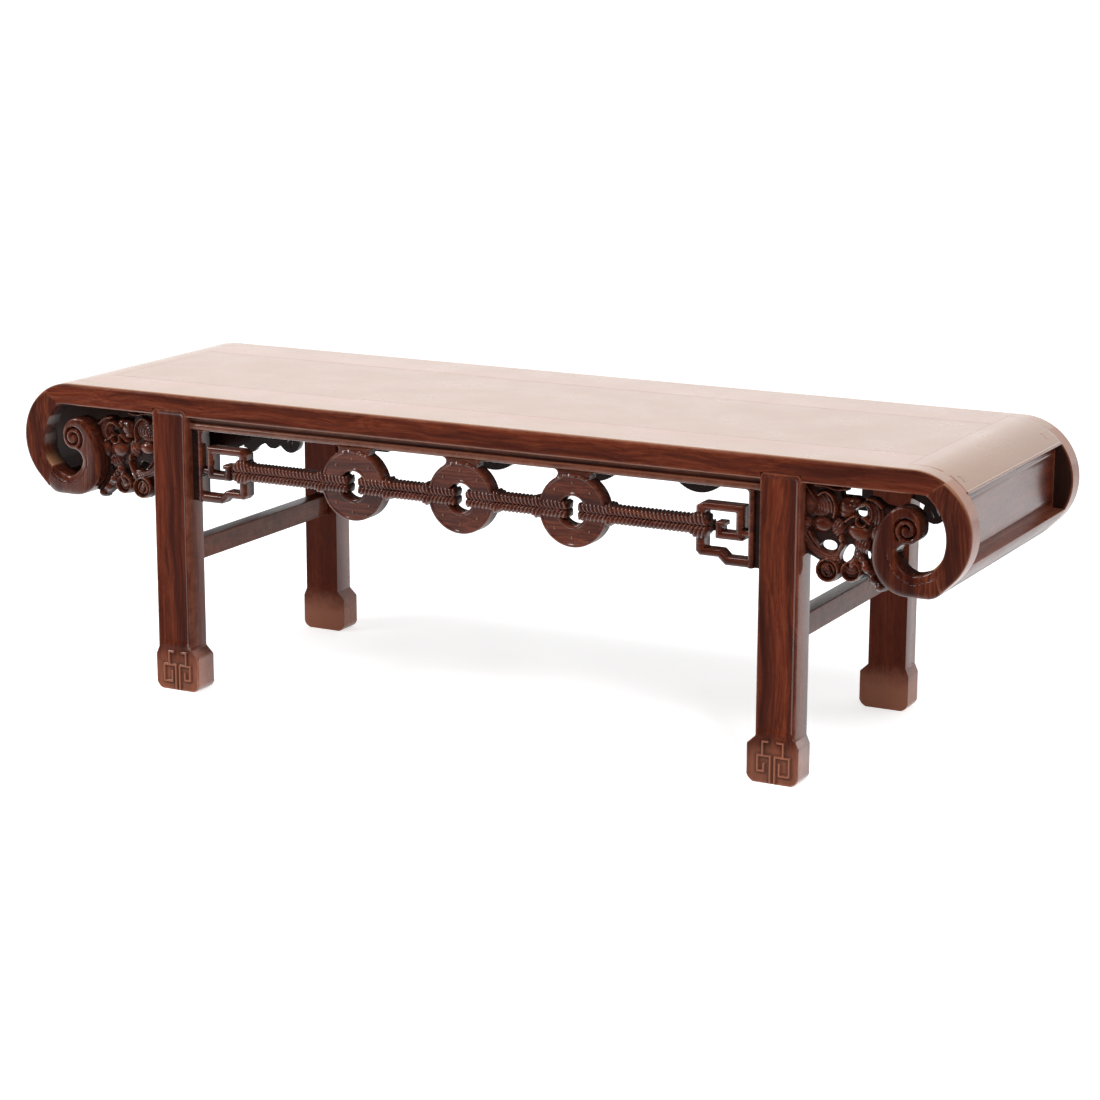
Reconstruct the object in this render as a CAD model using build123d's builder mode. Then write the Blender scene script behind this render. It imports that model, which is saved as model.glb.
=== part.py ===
from build123d import *
import os
from math import atan2, cos, degrees, radians, sin, sqrt

os.makedirs("parts", exist_ok=True)

# A low Chinese table for a kang: a framed top whose ends roll over into scrolls, four straight legs
# with flared feet, pierced aprons between the legs, and carved spandrels between legs and scrolls.
# Millimetres. X runs along the table, Y from front to back, Z up. The origin is on the floor under
# the middle. Pieces are drawn for the front right corner and mirrored to the others.

# Overall size
length = 1154.0  # from scroll to scroll
depth = 346.0  # from front face to back face
height = 345.0  # from floor to table top

# Frame of the top
rail_thick = 25.0  # thickness of all four rails
rail_width = 75.0  # long rail, from front to back
end_rail_flat = 12.0  # level part of an end rail, before it rolls over
top_arris = 2.5  # rounding along the outer top edge
panel_thick = 12.0  # panel held between the rails
tongue = 5.0  # thickness of a hidden tongue
tongue_reach = 6.0  # how far a tongue enters its groove
slack = 0.2  # clearance round a hidden tongue, tenon or plug

# Battens under the panel
batten_width = 30.0
batten_thick = 13.0
batten_pitch = 300.0
batten_count = 3
batten_tenon = 10.0  # length of each end tenon

# Scroll ends
scroll_radius = 65.0  # outer radius of the roll
arm_width = 27.5  # width of the scroll's board at its widest point
arm_thick = 25.0  # thickness of that board, from front to back
mitre_angle = 57.5  # where rail and scroll board meet, in degrees above the scroll's middle
mitre_run = 15.0  # inner end of that joint, past the scroll's middle
end_panel_thick = 8.0
end_panel_set = 20.0  # end panel's face, back from the scroll's widest point
end_tongue = 4.0  # thickness of the end panel's tongues
ledge_drop = 30.0  # ledge of the lower end rail, below the scroll's middle
lower_rail_foot = 7.0  # level part of the lower end rail, where it ends
lower_tenon = 7.0  # size of that rail's square tenons
lower_tenon_reach = 10.0
end_tenon_width = 14.0  # end rail's tenons into the long rails
end_tenon_thick = 9.0
end_tenon_reach = 12.0
plug_width = 13.0  # wooden plugs let into the rolled end rail
plug_height = 10.0
plug_depth = 12.0
plug_angle = 54.0  # degrees above the scroll's middle
plug_from_face = 45.0

# Legs
leg_width = 44.5
leg_depth = 31.0
scroll_to_leg = 138.75  # from the scroll's middle to the leg's middle
lip_rise = 7.0  # the leg's face runs up over the rail
lip_thick = 8.0
leg_tenon_width = 24.0
leg_tenon_thick = 12.0
leg_tenon_rise = 14.0
foot_inner_flare = 9.5
foot_outer_flare = 4.0
foot_height = 41.0  # upright side of the foot
foot_slope = 9.0  # height of the slope above it
foot_corner = 8.0  # rounding of the foot's lower corners

# Stretchers, one at each end between front and back leg
stretcher_width = 20.0
stretcher_height = 24.5
stretcher_bottom = 146.5
stretcher_tenon_width = 12.0
stretcher_tenon_height = 16.0
stretcher_tenon_reach = 12.0

# Aprons and everything hanging in them
apron_set = 8.0  # apron's face, back from the leg's face
apron_thick = 16.0
head_height = 15.0
head_tongue = 5.0  # thickness and height of the head's tongue in the rail
stile_width = 16.0
stile_bead = 6.0  # width of the stile's raised inner edge
stile_rebate = 5.0  # its outer part lies this much further back
stile_drop = 81.5  # length of the stile below the head

# Key-pattern fret beside each stile
fret_bar = 8.0
fret_gap = 6.0  # between stile and fret
fret_top = 17.5  # below the head
fret_reach = 59.0  # from the stile to the fret's far side
fret_post = 10.0  # width of the far upright, where the rope ends
fret_link_top = 43.0  # short link from the fret to the stile, below the head
fret_link = 7.0  # its height
fret_shelf_top = 46.5  # middle bar, below the head
fret_shelf_reach = 37.0  # from the stile to the middle bar's far end
fret_curl = 7.0  # upturned end of the middle bar
fret_curl_rise = 9.5
fret_curl_lip = 3.0  # its tip turns back towards the stile
fret_curl_lip_height = 4.5
fret_step = 7.5  # drop of the lowest bar towards the stile
fret_step_run = 7.0  # length of that step along the bar
fret_foot_reach = 25.0  # from the stile to the step

# Pierced discs, three to each apron
disc_radius = 39.5
disc_thick = 18.0
disc_set = 4.75  # disc's face, back from the leg's face
disc_hole = 16.0  # radius
disc_pitch = 135.0
disc_drop = 42.0  # disc's centre, below the head
disc_neck = 38.0  # width of the neck up to the head
disc_stud = 1.7  # radius of the small studs round the face
disc_stud_circle = 29.5
disc_stud_rise = 0.8
disc_stud_count = 3  # above the rope, and as many below
disc_stud_from = 45.0  # first stud, in degrees above the rope

# Double rope through the discs
strand_height = 10.0
strand_pitch = 9.4
rope_thick = 21.0
rope_end_gap = 5.0  # each rope end stops this far short of a disc's centre

# Spandrels
spandrel_thick = 16.0

# Places that follow from the sizes above
half_depth = depth / 2
scroll_x = length / 2 - scroll_radius
scroll_z = height - scroll_radius
rail_bottom = height - rail_thick
board_inner_y = half_depth - arm_thick
rail_inner_y = half_depth - rail_width
cross_x = scroll_x - end_rail_flat
tongue_z = height - (panel_thick + tongue) / 2
leg_x = scroll_x - scroll_to_leg
leg_in = leg_x - leg_width / 2
leg_out = leg_x + leg_width / 2
leg_back_y = half_depth - leg_depth
head_z = rail_bottom - head_height
apron_y = half_depth - apron_set - apron_thick / 2
stile_in = leg_in - stile_width
disc_y = half_depth - disc_set - disc_thick / 2
disc_back = half_depth - disc_set - disc_thick
disc_z = head_z - disc_drop
end_face_x = length / 2 - end_panel_set
end_mid_x = end_face_x - end_panel_thick / 2
end_back_x = end_face_x - end_panel_thick
ledge_z = scroll_z - ledge_drop
corners = {"front_right": (1, 1), "front_left": (-1, 1), "back_right": (1, -1), "back_left": (-1, -1)}


def at_scroll(x_share, z_share):
    """A point of the right-hand scroll, in scroll radii from its middle."""
    return (scroll_x + x_share * scroll_radius, scroll_z + z_share * scroll_radius)


# Where the scroll board's lower joint lies, and the rounded heel between its tangent and the bottom
joint_inner = at_scroll(0.42, -0.53)
joint_outer = at_scroll(sqrt(2) - 0.89, -0.89)
heel_share = 0.125  # from the heel's corner to each end of its rounding, in scroll radii
heel_high = at_scroll(sqrt(2) - 1 + heel_share / sqrt(2), heel_share / sqrt(2) - 1)
heel_low = at_scroll(sqrt(2) - 1 - heel_share, -1)
tangent_end = at_scroll(cos(radians(45)), -sin(radians(45)))
mitre_outer = at_scroll(cos(radians(mitre_angle)), sin(radians(mitre_angle)))
mitre_inner = (scroll_x + mitre_run, rail_bottom)
volute_left = at_scroll(-0.615, -0.35)
bay_width = volute_left[0] - leg_out
bay_height = rail_bottom - (scroll_z - scroll_radius)


def in_bay(x_share, z_share):
    """A point of the right-hand bay, as shares of its width from the leg and its height from the rail."""
    return (leg_out + x_share * bay_width, rail_bottom - z_share * bay_height)


def block(x_span, y_span, z_span, mode=Mode.ADD):
    """A box between the given lower and upper values."""
    spans = (x_span, y_span, z_span)
    with Locations(tuple((low + high) / 2 for low, high in spans)):
        Box(*(high - low for low, high in spans), mode=mode)


def bar(x_span, z_span):
    """A straight bar of a sketch between the given lower and upper values."""
    with Locations(((x_span[0] + x_span[1]) / 2, (z_span[0] + z_span[1]) / 2)):
        Rectangle(x_span[1] - x_span[0], z_span[1] - z_span[0])


def stem(start, end, width):
    """A round-ended stem of a sketch between two points."""
    run = Vector(*end) - Vector(*start)
    with Locations(((start[0] + end[0]) / 2, (start[1] + end[1]) / 2)):
        SlotCenterToCenter(run.length, width, rotation=degrees(atan2(run.Y, run.X)))


def middle_span(middle, size):
    return (middle - size / 2, middle + size / 2)


def save(shape, name):
    """Labels a finished piece and writes it under its own name."""
    shape.label = name
    export_step(shape, f"parts/{name}.step")


def save_corners(shape, stem_name):
    """Writes the front right piece and its three mirror images."""
    for corner, (x_side, y_side) in corners.items():
        copy = shape if x_side > 0 else mirror(shape, about=Plane.YZ)
        copy = copy if y_side > 0 else mirror(copy, about=Plane.XZ)
        save(copy, f"{stem_name}_{corner}")


def save_pair(shape, stem_name, names, about):
    """Writes a piece and its mirror image."""
    save(shape, f"{stem_name}_{names[0]}")
    save(mirror(shape, about=about), f"{stem_name}_{names[1]}")


# Top panel, with a tongue all round
with BuildPart() as top_panel:
    block((-cross_x, cross_x), (-rail_inner_y, rail_inner_y), (height - panel_thick, height))
    block(
        (-cross_x - tongue_reach, cross_x + tongue_reach),
        (-rail_inner_y - tongue_reach, rail_inner_y + tongue_reach),
        (tongue_z, tongue_z + tongue),
    )
save(top_panel.part, "top_panel")


def cut_panel_groove():
    """Takes the groove for the top panel's tongue out of a rail."""
    reach = tongue_reach + slack
    block(
        (-cross_x - reach, cross_x + reach),
        (-rail_inner_y - reach, rail_inner_y + reach),
        (tongue_z - slack, tongue_z + tongue + slack),
        Mode.SUBTRACT,
    )


# Battens across the underside of the panel, tenoned into the long rails
batten_z = height - panel_thick - batten_thick
batten_tenon_z = middle_span(batten_z + batten_thick / 2, tongue)
batten_tenon_width = batten_width - 2 * tongue


def batten_place(index):
    return (index - (batten_count - 1) / 2) * batten_pitch


for index, side in zip(range(batten_count), ("left", "middle", "right")):
    with BuildPart() as batten:
        block(
            middle_span(batten_place(index), batten_width),
            (-rail_inner_y, rail_inner_y),
            (batten_z, batten_z + batten_thick),
        )
        block(
            middle_span(batten_place(index), batten_tenon_width),
            (-rail_inner_y - batten_tenon, rail_inner_y + batten_tenon),
            batten_tenon_z,
        )
    save(batten.part, f"panel_batten_{side}")

# Long rail of the top, whose outer strip rolls over at both ends as far as the mitre
end_tenon_x = middle_span(scroll_x, end_tenon_width)
end_tenon_z = middle_span(rail_bottom + rail_thick / 2, end_tenon_thick)
with BuildPart() as top_rail:
    with BuildSketch(Plane.XZ.offset(board_inner_y)):
        with BuildLine():
            Line((0, rail_bottom), (0, height))
            Line((0, height), (scroll_x, height))
            CenterArc((scroll_x, scroll_z), scroll_radius, 90, mitre_angle - 90)
            Line(mitre_outer, mitre_inner)
            Line(mitre_inner, (0, rail_bottom))
        make_face()
        mirror(about=Plane.YZ)
    extrude(amount=arm_thick)
    block((-cross_x, cross_x), (-board_inner_y, -rail_inner_y), (rail_bottom, height))
    outer_edges = top_rail.edges().filter_by_position(Axis.Y, -half_depth, -half_depth)
    fillet(outer_edges.filter_by(lambda edge: edge.center().Z > height - rail_thick / 2), top_arris)
    cut_panel_groove()
    for index in range(batten_count):
        block(
            middle_span(batten_place(index), batten_tenon_width + 2 * slack),
            (-rail_inner_y - batten_tenon - slack, -rail_inner_y + slack),
            (batten_tenon_z[0] - slack, batten_tenon_z[1] + slack),
            Mode.SUBTRACT,
        )
    for side in (-1, 1):
        # Notch for the leg's lip, and mortises for the leg and the end rail
        block(
            middle_span(side * leg_x, leg_width),
            (-half_depth, -half_depth + lip_thick),
            (rail_bottom, rail_bottom + lip_rise),
            Mode.SUBTRACT,
        )
        block(
            middle_span(side * leg_x, leg_tenon_width + 2 * slack),
            middle_span(leg_depth / 2 - half_depth, leg_tenon_thick + 2 * slack),
            (rail_bottom, rail_bottom + leg_tenon_rise + slack),
            Mode.SUBTRACT,
        )
        block(
            middle_span(side * scroll_x, end_tenon_width + 2 * slack),
            (-board_inner_y - end_tenon_reach - slack, -board_inner_y),
            (end_tenon_z[0] - slack, end_tenon_z[1] + slack),
            Mode.SUBTRACT,
        )
    # Groove for the apron head's tongue
    block(
        (-leg_in + slack, leg_in - slack),
        middle_span(-apron_y, head_tongue + 2 * slack),
        (rail_bottom, rail_bottom + head_tongue + slack),
        Mode.SUBTRACT,
    )
save_pair(top_rail.part, "top_rail", ("front", "back"), Plane.XZ)

# End rail, which rolls over between the scroll boards and stops level with the rails' underside
plug_plane = Plane(
    origin=(
        scroll_x + scroll_radius * cos(radians(plug_angle)),
        0,
        scroll_z + scroll_radius * sin(radians(plug_angle)),
    ),
    x_dir=(0, 1, 0),
    z_dir=(cos(radians(plug_angle)), 0, sin(radians(plug_angle))),
)
plug_places = [(plug_from_face - half_depth, 0), (half_depth - plug_from_face, 0)]
roll_end_x = scroll_x + sqrt(scroll_radius**2 - (rail_bottom - scroll_z) ** 2)
end_tongue_x = middle_span(end_mid_x, end_tongue)
end_groove_x = (end_tongue_x[0] - slack, end_tongue_x[1] + slack)
end_tongue_rise = tongue_reach - slack
with BuildPart() as end_rail:
    with BuildSketch(Plane.XZ.offset(-board_inner_y)):
        with BuildLine():
            Line((cross_x, rail_bottom), (cross_x, height))
            Line((cross_x, height), (scroll_x, height))
            ThreePointArc((scroll_x, height), (plug_plane.origin.X, plug_plane.origin.Z), (roll_end_x, rail_bottom))
            Line((roll_end_x, rail_bottom), (cross_x, rail_bottom))
        make_face()
    extrude(amount=2 * board_inner_y)
    block(
        end_tenon_x,
        (-board_inner_y - end_tenon_reach, board_inner_y + end_tenon_reach),
        end_tenon_z,
    )
    cut_panel_groove()
    block(
        end_groove_x,
        (-board_inner_y, board_inner_y),
        (rail_bottom, rail_bottom + tongue_reach / 2),
        Mode.SUBTRACT,
    )
    with BuildSketch(plug_plane):
        with Locations(*plug_places):
            Rectangle(plug_width, plug_height)
    extrude(amount=-plug_depth, mode=Mode.SUBTRACT)
save_pair(end_rail.part, "end_rail", ("right", "left"), Plane.YZ)

# Plugs in the rolled end rails, two at each end, shaved flush with the roll
with BuildPart() as end_rail_plugs:
    with BuildSketch(plug_plane):
        with Locations(*plug_places):
            Rectangle(plug_width, plug_height)
    extrude(amount=-plug_depth)
    mirror(about=Plane.YZ)
    with BuildSketch(Plane.XZ.offset(-half_depth)):
        with Locations((scroll_x, scroll_z), (-scroll_x, scroll_z)):
            Circle(scroll_radius)
    extrude(amount=depth, mode=Mode.INTERSECT)
save(end_rail_plugs.part, "end_rail_plugs")

# Scroll board: the outer side of the roll, from the mitre down to the joint with the volute
with BuildPart() as scroll_arm:
    with BuildSketch(Plane.XZ.offset(board_inner_y)):
        with BuildLine():
            CenterArc((scroll_x, scroll_z), scroll_radius, mitre_angle, -mitre_angle - 45)
            Line(tangent_end, joint_outer)
            Line(joint_outer, joint_inner)
            ThreePointArc(joint_inner, (scroll_x + scroll_radius - arm_width, scroll_z), mitre_inner)
            Line(mitre_inner, mitre_outer)
        make_face()
    extrude(amount=arm_thick)
    face_edges = scroll_arm.edges().filter_by_position(Axis.Y, -half_depth, -half_depth)
    rim = face_edges.sort_by(Axis.X)[-1]
    fillet(rim, top_arris)
    # Groove for the end panel and mortise for the lower rail
    block(
        end_groove_x,
        (-board_inner_y - tongue_reach, -board_inner_y),
        (ledge_z, rail_bottom),
        Mode.SUBTRACT,
    )
    lower_tenon_x = middle_span(at_scroll(0.56, 0)[0], lower_tenon)
    lower_tenon_z = middle_span(at_scroll(0, -0.70)[1], lower_tenon)
    block(
        (lower_tenon_x[0] - slack, lower_tenon_x[1] + slack),
        (-board_inner_y - lower_tenon_reach - slack, -board_inner_y),
        (lower_tenon_z[0] - slack, lower_tenon_z[1] + slack),
        Mode.SUBTRACT,
    )
save_corners(scroll_arm.part, "scroll_arm")


def volute_outline():
    """The edge of the volute: level foot, outer curl, head turned back over the throat."""
    Line(joint_inner, joint_outer)
    Line(joint_outer, heel_high)
    TangentArc(heel_high, heel_low, tangent=(-1, -1))
    Line(heel_low, at_scroll(-0.03, -1))
    ThreePointArc(at_scroll(-0.03, -1), at_scroll(-0.42, -0.85), volute_left)
    ThreePointArc(volute_left, at_scroll(-0.53, 0.05), at_scroll(-0.36, 0.28))
    ThreePointArc(at_scroll(-0.36, 0.28), at_scroll(-0.09, 0.39), at_scroll(0.17, 0.06))
    ThreePointArc(at_scroll(0.17, 0.06), at_scroll(0.12, -0.10), at_scroll(-0.02, -0.177))
    ThreePointArc(at_scroll(-0.02, -0.177), at_scroll(-0.15, -0.21), at_scroll(-0.235, -0.36))
    ThreePointArc(at_scroll(-0.235, -0.36), at_scroll(-0.14, -0.55), at_scroll(0.05, -0.66))
    ThreePointArc(at_scroll(0.05, -0.66), at_scroll(0.26, -0.64), joint_inner)


# Volute that ends the roll, with its head turned in like a ram's horn
with BuildPart() as scroll_volute:
    with BuildSketch(Plane.XZ.offset(board_inner_y)):
        with BuildLine():
            volute_outline()
        make_face()
    extrude(amount=arm_thick)
save_corners(scroll_volute.part, "scroll_volute")

# End panel between the scroll boards, with a tongue all round
with BuildPart() as end_panel:
    block((end_back_x, end_face_x), (-board_inner_y, board_inner_y), (ledge_z, rail_bottom))
    block(
        end_tongue_x,
        (-board_inner_y - end_tongue_rise, board_inner_y + end_tongue_rise),
        (ledge_z, rail_bottom),
    )
    block(
        end_tongue_x,
        (-board_inner_y, board_inner_y),
        (ledge_z - end_tongue_rise, rail_bottom + tongue_reach / 2 - slack),
    )
save_pair(end_panel.part, "end_panel", ("right", "left"), Plane.YZ)

# Lower end rail: a ledge under the end panel, wrapping down and in to the bottom of the scroll
ledge_x = scroll_x + sqrt(scroll_radius**2 - ledge_drop**2)
lower_rail_end = (heel_low[0] - lower_rail_foot, heel_low[1])
with BuildPart() as end_lower_rail:
    with BuildSketch(Plane.XZ.offset(-board_inner_y)):
        with BuildLine():
            Line((end_back_x, ledge_z), (ledge_x, ledge_z))
            ThreePointArc((ledge_x, ledge_z), at_scroll(cos(radians(36)), -sin(radians(36))), tangent_end)
            Line(tangent_end, heel_high)
            TangentArc(heel_high, heel_low, tangent=(-1, -1))
            Line(heel_low, lower_rail_end)
            Line(lower_rail_end, (end_back_x, lower_tenon_z[1]))
            Line((end_back_x, lower_tenon_z[1]), (end_back_x, ledge_z))
        make_face()
    extrude(amount=2 * board_inner_y)
    block(
        end_groove_x,
        (-board_inner_y, board_inner_y),
        (ledge_z - tongue_reach, ledge_z),
        Mode.SUBTRACT,
    )
    block(
        lower_tenon_x,
        (-board_inner_y - lower_tenon_reach, board_inner_y + lower_tenon_reach),
        lower_tenon_z,
    )
save_pair(end_lower_rail.part, "end_lower_rail", ("right", "left"), Plane.YZ)

# Leg with its flared foot, the lip over the rail and the tenon into it
foot_in = leg_in - foot_inner_flare
foot_out = leg_out + foot_outer_flare
slope_z = foot_height + foot_slope
stretcher_mid_z = stretcher_bottom + stretcher_height / 2
with BuildPart() as leg:
    with BuildSketch(Plane.XZ.offset(leg_back_y)):
        with BuildLine():
            FilletPolyline(
                (leg_out, slope_z),
                (foot_out, foot_height),
                (foot_out, 0),
                (foot_in, 0),
                (foot_in, foot_height),
                (leg_in, slope_z),
                radius=(0, foot_corner, foot_corner, 0),
            )
            Line((leg_in, slope_z), (leg_in, rail_bottom))
            Line((leg_in, rail_bottom), (leg_out, rail_bottom))
            Line((leg_out, rail_bottom), (leg_out, slope_z))
        make_face()
    extrude(amount=leg_depth)
    block(
        (leg_in, leg_out),
        (-half_depth, -half_depth + lip_thick),
        (rail_bottom, rail_bottom + lip_rise),
    )
    block(
        middle_span(leg_x, leg_tenon_width),
        middle_span(leg_depth / 2 - half_depth, leg_tenon_thick),
        (rail_bottom, rail_bottom + leg_tenon_rise),
    )
    block(
        middle_span(leg_x, stretcher_tenon_width + 2 * slack),
        (-leg_back_y - stretcher_tenon_reach - slack, -leg_back_y),
        middle_span(stretcher_mid_z, stretcher_tenon_height + 2 * slack),
        Mode.SUBTRACT,
    )
save_corners(leg.part, "leg")

# Stretcher between the front and back leg of one end
with BuildPart() as stretcher:
    block(
        middle_span(leg_x, stretcher_width),
        (-leg_back_y, leg_back_y),
        middle_span(stretcher_mid_z, stretcher_height),
    )
    block(
        middle_span(leg_x, stretcher_tenon_width),
        (-leg_back_y - stretcher_tenon_reach, leg_back_y + stretcher_tenon_reach),
        middle_span(stretcher_mid_z, stretcher_tenon_height),
    )
save_pair(stretcher.part, "stretcher", ("right", "left"), Plane.YZ)

# Head of the apron, with its tongue in the rail
with BuildPart() as apron_head:
    block((-leg_in, leg_in), middle_span(-apron_y, apron_thick), (head_z, rail_bottom))
    block(
        (-leg_in + 2 * slack, leg_in - 2 * slack),
        middle_span(-apron_y, head_tongue),
        (rail_bottom, rail_bottom + head_tongue),
    )
save_pair(apron_head.part, "apron_head", ("front", "back"), Plane.XZ)

# Stile beside the leg with its key-pattern fret
fret_in = stile_in - fret_reach
fret_out = stile_in - fret_gap
shelf_in = stile_in - fret_shelf_reach
shelf_z = head_z - fret_shelf_top - fret_bar
curl_z = head_z - fret_shelf_top + fret_curl_rise
stile_foot_z = head_z - stile_drop
step_x = stile_in - fret_foot_reach
fret_foot_z = (stile_foot_z, stile_foot_z + fret_bar)
lowest_bar = (stile_foot_z + fret_step, stile_foot_z + fret_step + fret_bar)
with BuildPart() as apron_fret:
    with BuildSketch(Plane.XZ.offset(apron_y - apron_thick / 2)):
        bar((stile_in, leg_in), (stile_foot_z, head_z))
        bar((fret_out, stile_in), (head_z - fret_link_top - fret_link, head_z - fret_link_top))
        bar((fret_in, fret_out), (head_z - fret_top - fret_bar, head_z - fret_top))
        bar((fret_out - fret_bar, fret_out), (shelf_z, head_z - fret_top))
        bar((fret_in, fret_in + fret_post), (lowest_bar[0], head_z - fret_top))
        # Middle bar with its upturned end
        bar((shelf_in, fret_out), (shelf_z, head_z - fret_shelf_top))
        bar((shelf_in, shelf_in + fret_curl), (shelf_z, curl_z))
        bar((shelf_in, shelf_in + fret_curl + fret_curl_lip), (curl_z - fret_curl_lip_height, curl_z))
        # Lowest bar, which steps down to the stile
        bar((fret_in, step_x - fret_step_run), lowest_bar)
        stem((step_x - fret_step_run, sum(lowest_bar) / 2), (step_x, sum(fret_foot_z) / 2), fret_bar)
        bar((step_x, stile_in + stile_bead), fret_foot_z)
    extrude(amount=apron_thick)
    block(
        (stile_in + stile_bead, leg_in),
        (-apron_y - apron_thick / 2, -apron_y - apron_thick / 2 + stile_rebate),
        (stile_foot_z, head_z),
        Mode.SUBTRACT,
    )
save_corners(apron_fret.part, "apron_fret")

# Pierced disc hung from the head by a neck that lies behind the disc's rim, with studs round its face
neck_thick = half_depth - apron_set - disc_back
for index, side in enumerate(("left", "middle", "right")):
    disc_x = (index - 1) * disc_pitch
    with BuildPart() as disc:
        with BuildSketch(Plane.XZ.offset(disc_back)):
            with Locations((disc_x, disc_z)):
                Circle(disc_radius)
        extrude(amount=disc_thick)
        with BuildSketch(Plane.XZ.offset(disc_back)):
            bar(middle_span(disc_x, disc_neck), (disc_z, head_z))
        extrude(amount=neck_thick)
        with BuildSketch(Plane.XZ.offset(disc_back)):
            with Locations((disc_x, disc_z)):
                Circle(disc_hole)
        extrude(amount=disc_thick, mode=Mode.SUBTRACT)
        with BuildSketch(Plane.XZ.offset(disc_back + disc_thick)):
            for start_angle in (disc_stud_from, 180 + disc_stud_from):
                with Locations((disc_x, disc_z)):
                    with PolarLocations(
                        disc_stud_circle,
                        disc_stud_count,
                        start_angle=start_angle,
                        angular_range=180 - 2 * disc_stud_from,
                        endpoint=True,
                    ):
                        Circle(disc_stud)
        extrude(amount=disc_stud_rise)
    save_pair(disc.part, f"apron_disc_{side}", ("front", "back"), Plane.XZ)

# Double rope from fret to disc and from disc to disc. It saddles the discs: thin tongues of it
# lie on their faces, and its ends turn up as knobs inside their holes.
rope_stops = [-fret_in, -disc_pitch, 0, disc_pitch, fret_in]
rope_sides = ("far_left", "near_left", "near_right", "far_right")
for index, side in enumerate(rope_sides):
    start = rope_stops[index] + (rope_end_gap if index > 0 else 0)
    end = rope_stops[index + 1] - (rope_end_gap if index < 3 else 0)
    with BuildPart() as rope:
        with BuildSketch(Plane.YZ.offset(start)):
            with Locations((-disc_y, disc_z - strand_pitch / 2), (-disc_y, disc_z + strand_pitch / 2)):
                Ellipse(rope_thick / 2, strand_height / 2)
        extrude(amount=end - start)
        with BuildSketch(Plane.XZ.offset(disc_back)):
            with Locations(*((place, disc_z) for place in rope_stops[1:4])):
                Circle(disc_radius)
                Circle(disc_hole, mode=Mode.SUBTRACT)
        extrude(amount=disc_thick, mode=Mode.SUBTRACT)
    save_pair(rope.part, f"apron_rope_{side}", ("front", "back"), Plane.XZ)

# Spandrel: a bat spread between leg and scroll, over two coins on a ribbon
def blob(x_share, z_share, half_width, half_height, mode=Mode.ADD):
    """An ellipse of a sketch, its middle and half sizes given as shares of the bay."""
    with Locations(in_bay(x_share, z_share)):
        Ellipse(half_width * bay_width, half_height * bay_height, mode=mode)


with BuildPart() as spandrel:
    with BuildSketch(Plane.XZ.offset(apron_y - spandrel_thick / 2)):
        # Head, body, the two wings and the tip of a leaf against the leg
        blob(0.58, 0.17, 0.157, 0.115)
        blob(0.54, 0.44, 0.12, 0.19)
        blob(0.26, 0.35, 0.23, 0.19)
        blob(0.82, 0.46, 0.21, 0.17)
        blob(0.04, 0.41, 0.09, 0.09)
        # Coins, and the stems and ribbons that tie all of it to leg, rail and volute
        blob(0.33, 0.85, 0.17, 0.125)
        blob(0.69, 0.78, 0.16, 0.12)
        stem(in_bay(0, 0), in_bay(0.2, 0.2), 0.06 * bay_width)
        stem(in_bay(0.75, 0.32), in_bay(1.05, 0.24), 0.1 * bay_width)
        stem(in_bay(0, 0.6), in_bay(0.35, 0.76), 0.14 * bay_width)
        stem(in_bay(0.54, 0.5), in_bay(0.5, 0.86), 0.1 * bay_width)
        stem(in_bay(0.75, 0.8), in_bay(1.08, 0.92), 0.15 * bay_width)
        blob(0.33, 0.85, 0.07, 0.05, Mode.SUBTRACT)
        blob(0.69, 0.78, 0.07, 0.05, Mode.SUBTRACT)
        with BuildLine():
            volute_outline()
        make_face(mode=Mode.SUBTRACT)
        # Nothing reaches into the leg or the rail
        with Locations((leg_out, rail_bottom)):
            Rectangle(bay_width, 2 * bay_height, align=(Align.MAX, Align.CENTER), mode=Mode.SUBTRACT)
            Rectangle(2 * bay_width, bay_height, align=(Align.CENTER, Align.MIN), mode=Mode.SUBTRACT)
    extrude(amount=spandrel_thick)
save_corners(spandrel.part, "spandrel")
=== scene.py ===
"""A low Chinese table for a kang, in polished red-brown hardwood.

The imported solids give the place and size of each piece. Each operator makes one piece or one group of
like pieces with its mouldings and carving. Meshes are drawn in millimetres for the front right corner
(x to the right, y to the back, z up) and mirrored to the others.
"""

import math

import bmesh
import bpy
import numpy as np
from mathutils import Matrix, Vector
from mathutils.geometry import delaunay_2d_cdt


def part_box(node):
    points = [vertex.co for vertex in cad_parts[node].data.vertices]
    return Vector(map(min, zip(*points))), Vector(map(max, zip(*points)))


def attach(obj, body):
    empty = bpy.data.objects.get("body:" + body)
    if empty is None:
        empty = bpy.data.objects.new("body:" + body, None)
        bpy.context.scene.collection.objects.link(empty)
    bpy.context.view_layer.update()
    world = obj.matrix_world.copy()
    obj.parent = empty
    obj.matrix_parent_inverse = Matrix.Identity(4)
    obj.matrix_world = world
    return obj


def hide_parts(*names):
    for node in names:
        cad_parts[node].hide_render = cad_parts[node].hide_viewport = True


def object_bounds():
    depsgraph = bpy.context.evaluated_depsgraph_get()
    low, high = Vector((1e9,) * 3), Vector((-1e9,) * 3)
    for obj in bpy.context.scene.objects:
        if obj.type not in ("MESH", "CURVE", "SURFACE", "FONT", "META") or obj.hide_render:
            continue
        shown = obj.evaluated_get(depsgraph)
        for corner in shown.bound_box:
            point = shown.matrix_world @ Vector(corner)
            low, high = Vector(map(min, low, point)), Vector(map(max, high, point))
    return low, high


bl_info = {
    "name": "Kang table",
    "version": (1, 0, 0),
    "blender": (4, 5, 0),
    "location": "View3D > Sidebar > Kang table",
    "description": "Builds a carved kang table around its packed solids",
    "category": "Add Mesh",
}

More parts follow.
